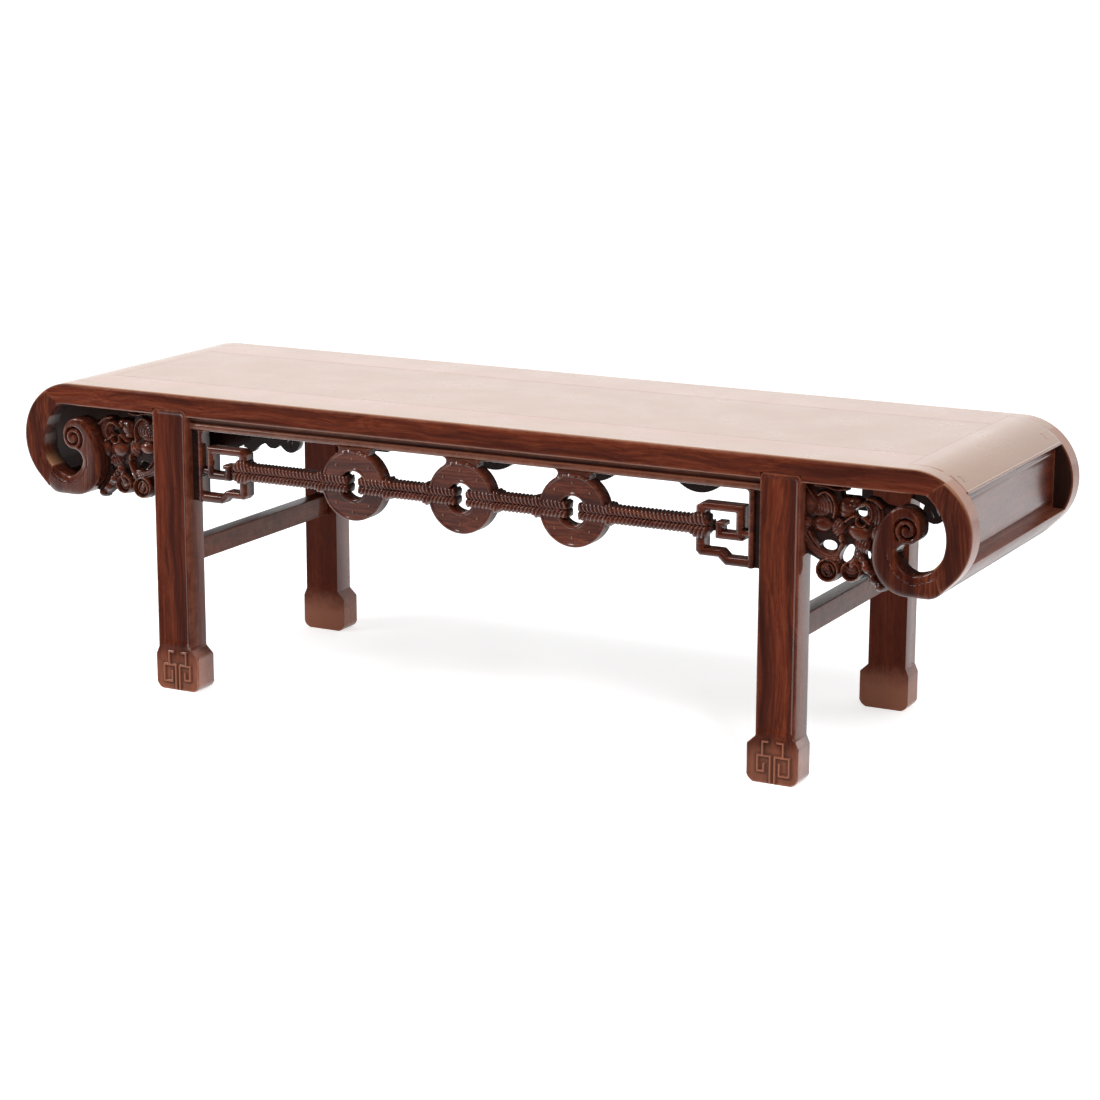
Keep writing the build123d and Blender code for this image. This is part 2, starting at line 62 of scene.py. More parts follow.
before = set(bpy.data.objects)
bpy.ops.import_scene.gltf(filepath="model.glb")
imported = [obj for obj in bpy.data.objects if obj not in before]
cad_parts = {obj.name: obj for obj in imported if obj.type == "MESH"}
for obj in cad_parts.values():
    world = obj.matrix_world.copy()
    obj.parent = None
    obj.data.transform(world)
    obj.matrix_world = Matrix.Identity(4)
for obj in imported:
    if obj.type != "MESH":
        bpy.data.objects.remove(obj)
cad_low, cad_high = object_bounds()

MM = 0.001
CORNERS = {"front_right": (1, 1), "front_left": (-1, 1), "back_right": (1, -1), "back_left": (-1, -1)}
SIDES = {"front": (1, 1), "back": (1, -1)}
ENDS = {"right": (1, 1), "left": (-1, 1)}


def node_box(node):
    """Lowest and highest corner of a CAD node, in millimetres."""
    low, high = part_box(node)
    return np.array(low) / MM, np.array(high) / MM


# Places read from the solids
TOP_Z = cad_high[2] / MM
FACE_Y = cad_low[1] / MM
RADIUS = (TOP_Z - node_box("scroll_volute_front_right")[0][2]) / 2
SCROLL_X = cad_high[0] / MM - RADIUS
SCROLL_Z = TOP_Z - RADIUS
BOARD_Y = node_box("scroll_arm_front_right")[1][1]
(CROSS_X, _, RAIL_Z), (ROLL_END_X, _, _) = node_box("end_rail_right")
RAIL_BACK_Y = node_box("top_rail_front")[1][1]
HEAD_LOW, HEAD_HIGH = node_box("apron_head_front")
LEG_IN = HEAD_HIGH[0]
LEG_LOW, LEG_HIGH = node_box("leg_front_right")
BAY_LOW, BAY_HIGH = node_box("spandrel_front_right")
LEG_OUT = BAY_LOW[0]
FRET_LOW, FRET_HIGH = node_box("apron_fret_front_right")
DISC_LOW, DISC_HIGH = node_box("apron_disc_right_front")
ROPE_LOW, ROPE_HIGH = node_box("apron_rope_far_right_front")
PANEL_X = node_box("end_panel_right")[1][0]
DISC_RADIUS = (DISC_HIGH[0] - DISC_LOW[0]) / 2
DISC_PITCH = (DISC_HIGH[0] + DISC_LOW[0]) / 2
DISC_Z = DISC_LOW[2] + DISC_RADIUS

# Places inside the solids, in millimetres
MITRE_ANGLE, MITRE_OUT = math.radians(57.5), 15.0
LIP_HEIGHT, LIP_THICK = 7.0, 8.0
LIP_Z = RAIL_Z + LIP_HEIGHT
LIP_BACK_Y = FACE_Y + LIP_THICK
LEG_DEPTH = 31.0
HEAD_HEIGHT = 15.0
HEAD_Z = RAIL_Z - HEAD_HEIGHT
STILE_IN = LEG_IN - 16.0
LINK_LOW, LINK_HIGH = HEAD_Z - 50.0, HEAD_Z - 43.0
LEDGE_DROP = 30.0
LEDGE_Z = SCROLL_Z - LEDGE_DROP
PANEL_THICK = 8.0
ARM_WIDTH = 27.5
CHUNK = 4000  # points measured against a path at a time


# ---------------------------------------------------------------------------------------------------
# Sizes and colours a user would change


def length_property(name, description, millimetres):
    return bpy.props.FloatProperty(
        name=name, description=description, default=millimetres * MM, min=0.0, unit="LENGTH", precision=4
    )


def colour_property(name, description, default):
    return bpy.props.FloatVectorProperty(
        name=name, description=description, default=default, size=3, min=0.0, max=1.0, subtype="COLOR"
    )


def share_property(name, description, default):
    return bpy.props.FloatProperty(
        name=name, description=description, default=default, min=0.0, max=1.0, subtype="FACTOR"
    )


class KangTableSizes(bpy.types.PropertyGroup):
    rail_bead: length_property("Rail bead", "Width of the bead along the rail's and scroll's inner edge", 7.6)
    rail_arris: length_property("Top arris", "Rounding of the rail's outer top edge", 3.6)
    leg_bead: length_property("Leg bead", "Width of the strip along each edge of a leg's face", 3.2)
    leg_facet: length_property("Leg facet", "Width of the slope from that strip down to the leg's field", 2.6)
    leg_hollow: length_property("Leg hollow", "Depth of the field between a leg's strips", 2.2)
    foot_carving: length_property("Foot carving", "Relief of the key pattern on a foot", 2.2)
    foot_line: length_property("Foot line", "Width of the lines of that pattern", 2.4)
    fret_round: length_property("Fret rounding", "Rounding of the key-pattern bars", 4.0)
    disc_rim: length_property("Disc rim", "Width of the raised rims of a disc", 2.6)
    rope_pitch: length_property("Rope pitch", "Distance between the ridges of a strand", 4.6)
    rope_relief: length_property("Rope relief", "Depth of the grooves between a strand's ridges", 1.7)
    volute_groove: length_property("Volute groove", "Depth of the spiral cut into a volute", 3.6)
    field_rise: length_property("Field rise", "Height of the end panel's raised field", 1.2)
    joint_gap: length_property("Joint gap", "Easing of an edge where two boards meet", 0.2)


class KangTableFinish(bpy.types.PropertyGroup):
    dark_wood: colour_property("Dark wood", "Darkest grain of the hardwood", (0.028, 0.0040, 0.0018))
    red_wood: colour_property("Red wood", "Body colour of the hardwood", (0.115, 0.0175, 0.0065))
    light_wood: colour_property("Light wood", "Lightest streaks of the hardwood", (0.23, 0.060, 0.024))
    # This colour is partly faded wood and partly a painted sheen on faces that look up.
    faded_and_sheen_wood: colour_property("Faded wood", "Level faces, faded by light and use", (0.302, 0.151, 0.077))
    # This colour serves for bare, used edges and for painted highlights on edges, ridges and rims, and
    # lightens what is low down.
    worn_and_lit_wood: colour_property("Worn wood", "Bare wood on rubbed edges", (0.36, 0.145, 0.09))
    # This colour serves for dirt in hollows and for painted shade: in hollows, under pieces, inside the table
    # and behind carved faces.
    grime_and_shade: colour_property("Grime and shade", "Old wax and dust in the hollows", (0.0075, 0.0045, 0.004))
    floor: colour_property("Floor", "Colour of the floor", (0.86, 0.86, 0.86))
    gloss: share_property("Gloss", "Strength of the wax polish", 0.9)


# ---------------------------------------------------------------------------------------------------
# Meshes


def arc(centre, radius, start, end, count):
    """Points of an arc, angles in radians."""
    angles = np.linspace(start, end, count)
    return np.stack([centre[0] + radius * np.cos(angles), centre[1] + radius * np.sin(angles)], 1)


def arc_through(first, middle, last, count):
    """Points of the arc through three points."""
    (ax, ay), (bx, by), (cx, cy) = first, middle, last
    scale = 2 * (ax * (by - cy) + bx * (cy - ay) + cx * (ay - by))
    a2, b2, c2 = ax * ax + ay * ay, bx * bx + by * by, cx * cx + cy * cy
    x = (a2 * (by - cy) + b2 * (cy - ay) + c2 * (ay - by)) / scale
    y = (a2 * (cx - bx) + b2 * (ax - cx) + c2 * (bx - ax)) / scale
    angles = [math.atan2(q[1] - y, q[0] - x) for q in (first, middle, last)]
    turn = 2 * math.pi
    sweep = (angles[2] - angles[0]) % turn
    if (angles[1] - angles[0]) % turn > sweep:
        sweep -= turn
    return arc((x, y), math.hypot(ax - x, ay - y), angles[0], angles[0] + sweep, count)


def arcs(points, counts):
    """A path of arcs through three points each, every arc starting where the last one ended."""
    return joined(*(arc_through(*points[2 * k : 2 * k + 3], count) for k, count in enumerate(counts)))


def joined(*runs):
    """One path from runs that share their end points."""
    points = [np.asarray(run, float) for run in runs]
    return np.concatenate([points[0]] + [run[1:] for run in points[1:]])


def resampled(path, step, closed=False):
    """A path with points at most step apart that keeps its own corners."""
    path = np.asarray(path, float)
    ends = np.roll(path, -1, 0) if closed else path[1:]
    points = []
    for start, end in zip(path, ends):
        count = max(1, math.ceil(math.hypot(*(end - start)) / step - 1e-6))
        points.append(start + (end - start) * np.arange(count)[:, None] / count)
    if not closed:
        points.append(path[-1:])
    return np.concatenate(points)


def even(path, count):
    """A path as count points an equal distance apart."""
    path = np.asarray(path, float)
    run = np.concatenate([[0], np.cumsum(np.hypot(*np.diff(path, axis=0).T))])
    where = np.linspace(0, run[-1], count)
    return np.stack([np.interp(where, run, path[:, k]) for k in (0, 1)], 1)


def filleted(corners, radii):
    """A closed outline with each corner rounded by its radius."""
    corners = [np.asarray(c, float) for c in corners]
    points = []
    for index, (corner, radius) in enumerate(zip(corners, radii)):
        back = corners[index - 1] - corner
        ahead = corners[(index + 1) % len(corners)] - corner
        back_run, ahead_run = np.hypot(*back), np.hypot(*ahead)
        half = math.acos(np.clip(back @ ahead / back_run / ahead_run, -1, 1)) / 2
        if radius <= 0 or abs(half - math.pi / 2) < 1e-3:
            points.append(corner[None])
            continue
        reach = min(radius / math.tan(half), 0.49 * back_run, 0.49 * ahead_run)
        start, end = corner + back / back_run * reach, corner + ahead / ahead_run * reach
        t = np.linspace(0, 1, 6)[:, None]
        points.append((1 - t) ** 2 * start + 2 * t * (1 - t) * (corner + (start + end) / 2) / 2 + t**2 * end)
    return np.concatenate(points)


def side_paths(path, distance):
    """Paths beside an open path with square corners, at a distance on either side."""
    runs = np.diff(path, axis=0)
    runs /= np.hypot(*runs.T)[:, None]
    left = np.stack([-runs[:, 1], runs[:, 0]], 1)
    offset = np.concatenate([left[:1], left[:-1] + left[1:], left[-1:]])
    return [path + side * distance * offset for side in (-1, 1)]


def distances(points, path, closed=False, with_run=False):
    """Distance of each point from a path, and if asked how far along the path its nearest place lies."""
    path = np.asarray(path, float)
    starts = path if closed else path[:-1]
    ends = np.roll(path, -1, 0) if closed else path[1:]
    runs = ends - starts
    squares = np.maximum((runs**2).sum(1), 1e-12)
    before = np.concatenate([[0], np.cumsum(np.sqrt(squares))[:-1]])
    nearest, run = np.empty(len(points)), np.empty(len(points))
    for first in range(0, len(points), CHUNK):
        some = points[first : first + CHUNK]
        offset = some[:, None] - starts[None]
        share = np.clip((offset * runs[None]).sum(2) / squares, 0, 1)
        gap = offset - share[..., None] * runs[None]
        gap = (gap**2).sum(2)
        index = gap.argmin(1)
        row = np.arange(len(index))
        nearest[first : first + CHUNK] = np.sqrt(gap[row, index])
        run[first : first + CHUNK] = before[index] + share[row, index] * np.sqrt(squares[index])
    return (nearest, run) if with_run else nearest


def inside(points, loops):
    """Which points lie inside a set of closed loops, holes being loops too."""
    hits = np.zeros(len(points), int)
    for loop in loops:
        starts, ends = loop, np.roll(loop, -1, 0)
        for first in range(0, len(points), CHUNK):
            x, z = points[first : first + CHUNK].T
            run, rise = (ends - starts).T
            above = (starts[:, 1] > z[:, None]) != (ends[:, 1] > z[:, None])
            rise = np.where(rise == 0, 1e-12, rise)
            cross = starts[:, 0] + (z[:, None] - starts[:, 1]) / rise * run
            hits[first : first + CHUNK] += (above & (x[:, None] < cross)).sum(1)
    return hits % 2 == 1


def loop_area(loop):
    x, z = loop.T
    return 0.5 * float(np.sum(x * np.roll(z, -1) - np.roll(x, -1) * z))


def contour(field, low, high, step):
    """The closed outlines where a field over the plane is zero. It is negative inside."""
    xs, zs = np.arange(low[0], high[0] + step, step), np.arange(low[1], high[1] + step, step)
    grid_x, grid_z = np.meshgrid(xs, zs, indexing="ij")
    value = field(np.stack([grid_x.ravel(), grid_z.ravel()], 1)).reshape(grid_x.shape)
    value[0] = value[-1] = np.maximum(value[0], 1e-3)
    value[:, [0, -1]] = np.maximum(value[:, [0, -1]], 1e-3)
    value = np.where(np.abs(value) < 1e-6, 1e-6, value)
    solid = value < 0
    places, links = {}, {}

    def crossing(first, second):
        key = (first, second)
        if key not in places:
            a, b = value[first], value[second]
            t = a / (a - b)
            places[key] = (
                xs[first[0]] + t * (xs[second[0]] - xs[first[0]]),
                zs[first[1]] + t * (zs[second[1]] - zs[first[1]]),
            )
        return key

    mixed = solid[:-1, :-1].astype(int) + solid[1:, :-1] + solid[:-1, 1:] + solid[1:, 1:]
    for i, j in zip(*np.nonzero((mixed > 0) & (mixed < 4))):
        ring = [(i, j), (i + 1, j), (i + 1, j + 1), (i, j + 1)]
        crossings = []
        for first, second in zip(ring, ring[1:] + ring[:1]):
            if solid[first] != solid[second]:
                crossings.append(crossing(*sorted((first, second))))
        pairs = [crossings]
        if len(crossings) == 4:
            centre = value[i, j] + value[i + 1, j] + value[i + 1, j + 1] + value[i, j + 1] < 0
            turn = 1 if centre == bool(solid[ring[0]]) else 0
            order = crossings[turn:] + crossings[:turn]
            pairs = [order[:2], order[2:]]
        for a, b in pairs:
            links.setdefault(a, []).append(b)
            links.setdefault(b, []).append(a)
    loops = []
    while links:
        start = next(iter(links))
        loop, here = [], start
        while here is not None:
            loop.append(places[here])
            onward = links.pop(here)
            here = next((key for key in onward if key in links), None)
        if len(loop) > 8:
            loops.append(np.array(loop))
    return loops


def offset_ring(loop, distance):
    """The points of a closed loop moved to the left by a distance."""
    ahead = np.roll(loop, -1, 0) - np.roll(loop, 1, 0)
    ahead /= np.maximum(np.hypot(*ahead.T), 1e-9)[:, None]
    return loop + distance * np.stack([-ahead[:, 1], ahead[:, 0]], 1)


def relief(loops, set_back, face_y, back_y, step, rims, lines, edge_step):
    """A carved board: its front follows set_back(points, distance from the edge) behind face_y.

    loops are the outline and its holes. step and edge_step are the distances between points on the face
    and along the loops, rims are the distances of rows of points from the loops, and lines are paths that
    the mesh's edges should follow. Gives points and faces, seen from the front with x to the right.
    """
    shaped = []
    for loop in loops:
        fine = resampled(loop, edge_step, closed=True)
        hole = inside(fine[:1] + 1e-7, [other for other in loops if other is not loop])[0]
        shaped.append(fine[::-1] if (loop_area(fine) > 0) == hole else fine)
    points, edges, start = list(shaped), [], 0
    for loop in shaped:
        count = len(loop)
        edges += [(start + k, start + (k + 1) % count) for k in range(count)]
        start += count
    everything = np.concatenate(shaped)

    def edge_distance(some):
        return np.min([distances(some, loop, closed=True) for loop in shaped], axis=0)

    for rim in rims:
        for loop in shaped:
            ring = offset_ring(loop, rim)
            good = (edge_distance(ring) > 0.85 * rim) & inside(ring, shaped)
            points.append(ring[good][:: max(1, int(round(min(rim, step) / edge_step)))])
    for line in lines:
        fine = resampled(line, step * 0.8)
        good = inside(fine, shaped) & (edge_distance(fine) > 0.4)
        points.append(fine[good])
    low, high = everything.min(0), everything.max(0)
    grid = []
    for index, z in enumerate(np.arange(low[1], high[1], step * math.sqrt(0.75))):
        xs = np.arange(low[0] + step / 2 * (index % 2), high[0], step)
        grid.append(np.stack([xs, np.full(len(xs), z)], 1))
    grid = np.concatenate(grid)
    grid = grid[inside(grid, shaped)]
    clear = edge_distance(grid) > rims[-1] + 0.45 * step
    for line in lines:
        clear &= distances(grid, line) > 0.45 * step
    points.append(grid[clear])

    def triangles(plane):
        made = delaunay_2d_cdt([Vector(p) for p in plane], edges, [], 1, 1e-5)
        flat = np.array([tuple(v) for v in made[0]])
        faces = np.array([f for f in made[2] if len(f) == 3])
        return flat, faces[inside(flat[faces].mean(1), shaped)], made[3]

    flat, faces, origins = triangles(np.concatenate(points))
    places = {old: new for new, olds in enumerate(origins) for old in olds}
    (ax, az), (bx, bz) = ((flat[faces[:, k]] - flat[faces[:, 0]]).T for k in (1, 2))
    turned = ax * bz - az * bx < 0
    faces[turned] = faces[turned][:, ::-1]
    front = np.stack([flat[:, 0], face_y + set_back(flat, edge_distance(flat)), flat[:, 1]], 1)
    back = np.stack([everything[:, 0], np.full(len(everything), back_y), everything[:, 1]], 1)
    all_faces, back_start, start = faces.tolist(), len(front), 0
    for loop in shaped:
        size = len(loop)
        for k in range(size):
            a, b = start + k, start + (k + 1) % size
            all_faces.append([places[b], places[a], back_start + a, back_start + b])
        start += size
    _, back_faces, origins = triangles(everything)
    for face in back_faces.tolist():
        all_faces.append([back_start + origins[v][0] for v in face][::-1])
    return np.concatenate([front, back]), all_faces


def skin(rows):
    """A surface through rows of points, each row one closed section, with a cap at both ends."""
    rows = np.asarray(rows, float)
    stations, count = rows.shape[:2]
    faces = []
    for a in range(0, (stations - 1) * count, count):
        b = a + count
        faces += [[a + k, a + (k + 1) % count, b + (k + 1) % count, b + k] for k in range(count)]
    faces += [list(range(count))[::-1], [(stations - 1) * count + k for k in range(count)]]
    return rows.reshape(-1, 3), faces


def together(*shapes):
    """Several shapes as one."""
    points, faces, start = [], [], 0
    for shape_points, shape_faces in shapes:
        points.append(shape_points)
        faces += [[start + v for v in face] for face in shape_faces]
        start += len(shape_points)
    return np.concatenate(points), faces


def board(sections):
    """A board along y through (place, section) pairs. A section lies in x and z."""
    return skin([np.stack([s[:, 0], np.full(len(s), y), s[:, 1]], 1) for y, s in sections])


def bar(low, high, easing):
    """A straight bar along y with rounded long edges and slightly eased ends."""
    (left, start, bottom), (right, end, top) = low, high
    radius = min(easing, 0.45 * min(right - left, top - bottom))
    turns = np.radians([0, 22, 45, 68, 90])
    section = []
    for side_x, side_z, quarter in ((1, 1, 0), (-1, 1, 90), (-1, -1, 180), (1, -1, 270)):
        x = right - radius if side_x > 0 else left + radius
        z = top - radius if side_z > 0 else bottom + radius
        angles = turns + math.radians(quarter)
        section.append(np.stack([x + radius * np.cos(angles), z + radius * np.sin(angles)], 1))
    section = np.concatenate(section)
    outward = np.sign(section - ((left + right) / 2, (bottom + top) / 2))
    inset, guard = min(0.4, 0.3 * radius), 2.5
    inner = [(y, section) for y in (start + inset, start + guard, end - guard, end - inset)]
    eased = section - outward * inset
    return board([(start, eased), *inner, (end, eased)])


def shaped_board(profile, half, easing, middles):
    """A board along y from -half to half with the profile as its section, slightly smaller at the ends."""
    inward = profile.mean(0) - profile
    inward /= np.hypot(*inward.T)[:, None]
    ends = [(half, easing), (half - easing, 0.03), (half - 4, 0)]
    stations = [(-y, shrink) for y, shrink in ends] + [(y, 0) for y in middles] + ends[::-1]
    return board([(y, profile + inward * shrink) for y, shrink in stations])


def stepped_board(centre, half_sizes, steps, across, up, out):
    """A board with stepped or sloping margins: steps are (distance in from the edge, height along out)."""
    centre, across, up, out = (np.asarray(v, float) for v in (centre, across, up, out))
    corners = ((-1, -1), (1, -1), (1, 1), (-1, 1))
    rows = []
    for inset, rise in steps:
        w, h = half_sizes[0] - inset, half_sizes[1] - inset
        rows.append([centre + across * a * w + up * b * h + out * rise for a, b in corners])
    return skin(rows)


def edge_marks(mesh, deep):
    """Stores how far each vertex stands out (used, painted highlight) or sinks (dirt, painted shade), and its
    deep mark.
    """
    count = len(mesh.vertices)
    places, normals = np.empty((count, 3)), np.empty((count, 3))
    mesh.vertices.foreach_get("co", places.ravel())
    mesh.vertices.foreach_get("normal", normals.ravel())
    ends = np.empty((len(mesh.edges), 2), int)
    mesh.edges.foreach_get("vertices", ends.ravel())
    a, b = ends.T
    run = places[b] - places[a]
    size = np.maximum(np.linalg.norm(run, axis=1), 1e-7)
    total, weight = np.zeros(count), np.full(count, 1e-9)
    for where, way in ((a, -1), (b, 1)):
        np.add.at(total, where, way * (run * normals[where]).sum(1) / size / size)
        np.add.at(weight, where, 1 / size)
    bend = total / weight
    for _ in range(2):
        spread, share = bend.copy(), np.ones(count)
        for here, there in ((a, b), (b, a)):
            np.add.at(spread, here, bend[there])
            np.add.at(share, here, 1)
        bend = spread / share
    depth = (np.abs(places[:, 1]).max() - np.abs(places[:, 1])) / MM
    dark = np.zeros(count) if deep is None else deep(np.abs(places) / MM, depth)
    for name, values in (("bend", bend), ("deep", dark)):
        attribute = mesh.attributes.new(name, "FLOAT", "POINT")
        attribute.data.foreach_set("value", values.astype(np.float32))


def shade_behind(low, high):
    """Painted shade of a carved board: it starts low behind its face and is full at high."""
    return lambda places, depth: step_up(depth, low, high)


def piece(name, shape, nodes, material, sides=(1, 1), smooth=32.0, deep=None):
    """Makes one finished piece from points and faces, mirrored to its corner.

    deep gives how dark with painted shade each place is, or how light with a painted highlight if
    negative, from its distances from the middle and behind the face.
    """
    points, faces = shape
    points = np.asarray(points, float) * MM * (sides[0], sides[1], 1)
    mesh = bpy.data.meshes.new(name)
    mesh.from_pydata(points.tolist(), [], faces)
    work = bmesh.new()
    work.from_mesh(mesh)
    bmesh.ops.remove_doubles(work, verts=work.verts, dist=2e-6)
    bmesh.ops.dissolve_degenerate(work, edges=work.edges, dist=1e-6)
    bmesh.ops.recalc_face_normals(work, faces=work.faces)
    work.to_mesh(mesh)
    work.free()
    mesh.shade_smooth()
    mesh.set_sharp_from_angle(angle=math.radians(smooth))
    edge_marks(mesh, deep)
    mesh.materials.append(material)
    obj = bpy.data.objects.new(name, mesh)
    bpy.context.scene.collection.objects.link(obj)
    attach(obj, "root")
    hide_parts(*nodes)


def copies(places, stem, ending, shape, material, smooth=32.0, deep=None, back_material=None):
    """The mirrored copies of a front right piece at its places: CORNERS, SIDES or ENDS."""
    for place, sides in places.items():
        node = f"{stem}_{place}"
        finish = back_material if back_material and sides[1] < 0 else material
        piece(f"{node}_{ending}", shape, [node], finish, sides, smooth, deep)


def rounded(distance, radius, drop):
    """Set-back of a rounded edge at a distance from it."""
    share = np.clip(1 - distance / radius, 0, 1)
    return drop * (1 - np.sqrt(np.maximum(1 - share**2, 0)))


def channel(distance, half_width, depth):
    """Depth of a round-bottomed groove at a distance from its line."""
    share = np.clip(distance / half_width, 0, 1)
    return depth * (1 - share**2) ** 2


def step_up(value, low, high):
    """0 below low, 1 above high, smooth between."""
    share = np.clip((value - low) / (high - low), 0, 1)
    return share * share * (3 - 2 * share)


# ---------------------------------------------------------------------------------------------------
# Materials


class Nodes:
    """Short calls for building a node tree."""

    def __init__(self, tree):
        self.tree = tree

    def add(self, kind, inputs=None, **settings):
        node = self.tree.nodes.new(kind)
        for name, value in settings.items():
            setattr(node, name, value)
        for name, value in (inputs or {}).items():
            if isinstance(value, bpy.types.NodeSocket):
                self.tree.links.new(value, node.inputs[name])
            else:
                node.inputs[name].default_value = value
        return node

    def math(self, operation, *values):
        return self.add("ShaderNodeMath", dict(enumerate(values)), operation=operation).outputs[0]

    def times(self, first, *others):
        for other in others:
            first = self.math("MULTIPLY", first, other)
        return first

    def span(self, value, low, high, to_low=0.0, to_high=1.0):
        sockets = {"Value": value, "From Min": low, "From Max": high, "To Min": to_low, "To Max": to_high}
        return self.add("ShaderNodeMapRange", sockets, interpolation_type="SMOOTHSTEP").outputs[0]

    def noise(self, vector, scale, detail=4.0, roughness=0.55, distortion=0.0):
        sockets = {"Vector": vector, "Scale": scale, "Detail": detail, "Roughness": roughness}
        return self.add("ShaderNodeTexNoise", {**sockets, "Distortion": distortion}).outputs["Fac"]

    def mix(self, share, first, second):
        return self.add("ShaderNodeMix", {0: share, 6: first, 7: second}, data_type="RGBA").outputs[2]

    def give(self, result, **values):
        for name, value in values.items():
            self.tree.links.new(value, result[name])

    def surface(self, shader, inputs, output="ShaderNodeOutputMaterial"):
        self.add(output, {"Surface": self.add(shader, inputs).outputs[0]})


def fresh_nodes(owner):
    """The emptied node tree of a material or world."""
    owner.use_nodes = True
    owner.node_tree.nodes.clear()
    return Nodes(owner.node_tree)


def new_group(name, inputs, outputs):
    """A node group with its sockets: its tree, what it is given and what it has to fill."""
    group = bpy.data.node_groups.new(name, "ShaderNodeTree")
    for socket, default in inputs.items():
        kind = "NodeSocketFloat" if isinstance(default, float) else "NodeSocketVector"
        group.interface.new_socket(socket, in_out="INPUT", socket_type=kind).default_value = default
    for socket in outputs:
        group.interface.new_socket(socket, in_out="OUTPUT", socket_type="NodeSocketFloat")
    n = Nodes(group)
    return n, n.add("NodeGroupInput").outputs, n.add("NodeGroupOutput").inputs


def grain_group():
    """Hardwood grain along a chosen direction: broad figure, fine streaks and pores."""
    inputs = {"Stretch": (0.05, 1.0, 1.0), "Seed": 0.0, "Figure Scale": 60.0, "Streak Scale": 420.0}
    n, given, result = new_group("hardwood_grain", inputs, ("Figure", "Streak", "Pores"))

    def vector(operation, sockets):
        return n.add("ShaderNodeVectorMath", sockets, operation=operation).outputs[0]

    place = n.add("ShaderNodeTexCoord").outputs["Object"]
    shift = vector("ADD", {0: place, 1: given["Seed"]})
    wobble = n.add("ShaderNodeTexNoise", {"Vector": shift, "Scale": 6.0, "Detail": 2.0}).outputs["Color"]
    bent = vector("ADD", {0: shift, 1: vector("SCALE", {0: wobble, 3: 0.035})})
    along = vector("MULTIPLY", {0: bent, 1: given["Stretch"]})
    figure = n.noise(along, given["Figure Scale"], detail=5.0, roughness=0.6, distortion=0.3)
    streak = n.noise(along, given["Streak Scale"], detail=3.0, roughness=0.7)
    pore = n.noise(along, n.times(given["Streak Scale"], 3.2), detail=2.0, roughness=0.5)
    n.give(
        result,
        Figure=n.span(figure, 0.3, 0.72),
        Streak=n.span(streak, 0.36, 0.66),
        Pores=n.span(pore, 0.55, 0.70),
    )
    return n.tree


def wear_and_light_group():
    """Used edges, dirt, painted highlights, sheen and shade, from the bend and depth stored in each mesh,
    broken up by noise.
    """
    inputs = {"Amount": 0.6, "Grime and shade": 0.6, "Patch Scale": 60.0, "Level From": 0.86, "Level To": 0.985}
    n, given, result = new_group("edge_wear_and_light", inputs, ("Worn", "Grimy", "Smudge", "Faded", "Deep", "Low"))
    place = n.add("ShaderNodeTexCoord").outputs["Object"]
    rise = n.add("ShaderNodeSeparateXYZ", {0: n.add("ShaderNodeNewGeometry").outputs["Normal"]}).outputs["Z"]
    height = n.add("ShaderNodeSeparateXYZ", {0: place}).outputs["Z"]
    bend = n.add("ShaderNodeAttribute", attribute_name="bend").outputs["Fac"]
    deep = n.add("ShaderNodeAttribute", attribute_name="deep").outputs["Fac"]
    patch = n.noise(place, given["Patch Scale"], detail=5.0, roughness=0.7)
    rubbed_and_lit = n.times(bend, n.math("ADD", n.times(patch, 1.6), 0.2))
    worn_and_lit = n.times(n.span(rubbed_and_lit, 0.05, 0.30), given["Amount"])
    hollow = n.span(n.times(bend, -1.0), 0.03, 0.30)
    low = n.math("ADD", height, n.times(n.math("SUBTRACT", patch, 0.5), 0.03))
    n.give(
        result,
        # Edges that stand out: used wood, partly painted highlight; negative deep: painted highlight.
        Worn=n.math("MAXIMUM", worn_and_lit, n.times(deep, -1.0)),
        # Hollows: dirt, and painted shade.
        Grimy=n.times(hollow, given["Grime and shade"]),
        Smudge=n.noise(place, 14.0, detail=4.0, roughness=0.6),
        # Faces that look up: faded, partly painted sheen.
        Faded=n.span(rise, given["Level From"], given["Level To"]),
        # Depth behind the face: painted shade.
        Deep=n.math("MAXIMUM", deep, 0.0),
        Low=n.span(low, 0.02, 0.055, 1.0, 0.0),
    )
    return n.tree


GRAINS = {"x": (0.035, 1.0, 1.0), "y": (1.0, 0.035, 1.0), "z": (1.0, 1.0, 0.035)}


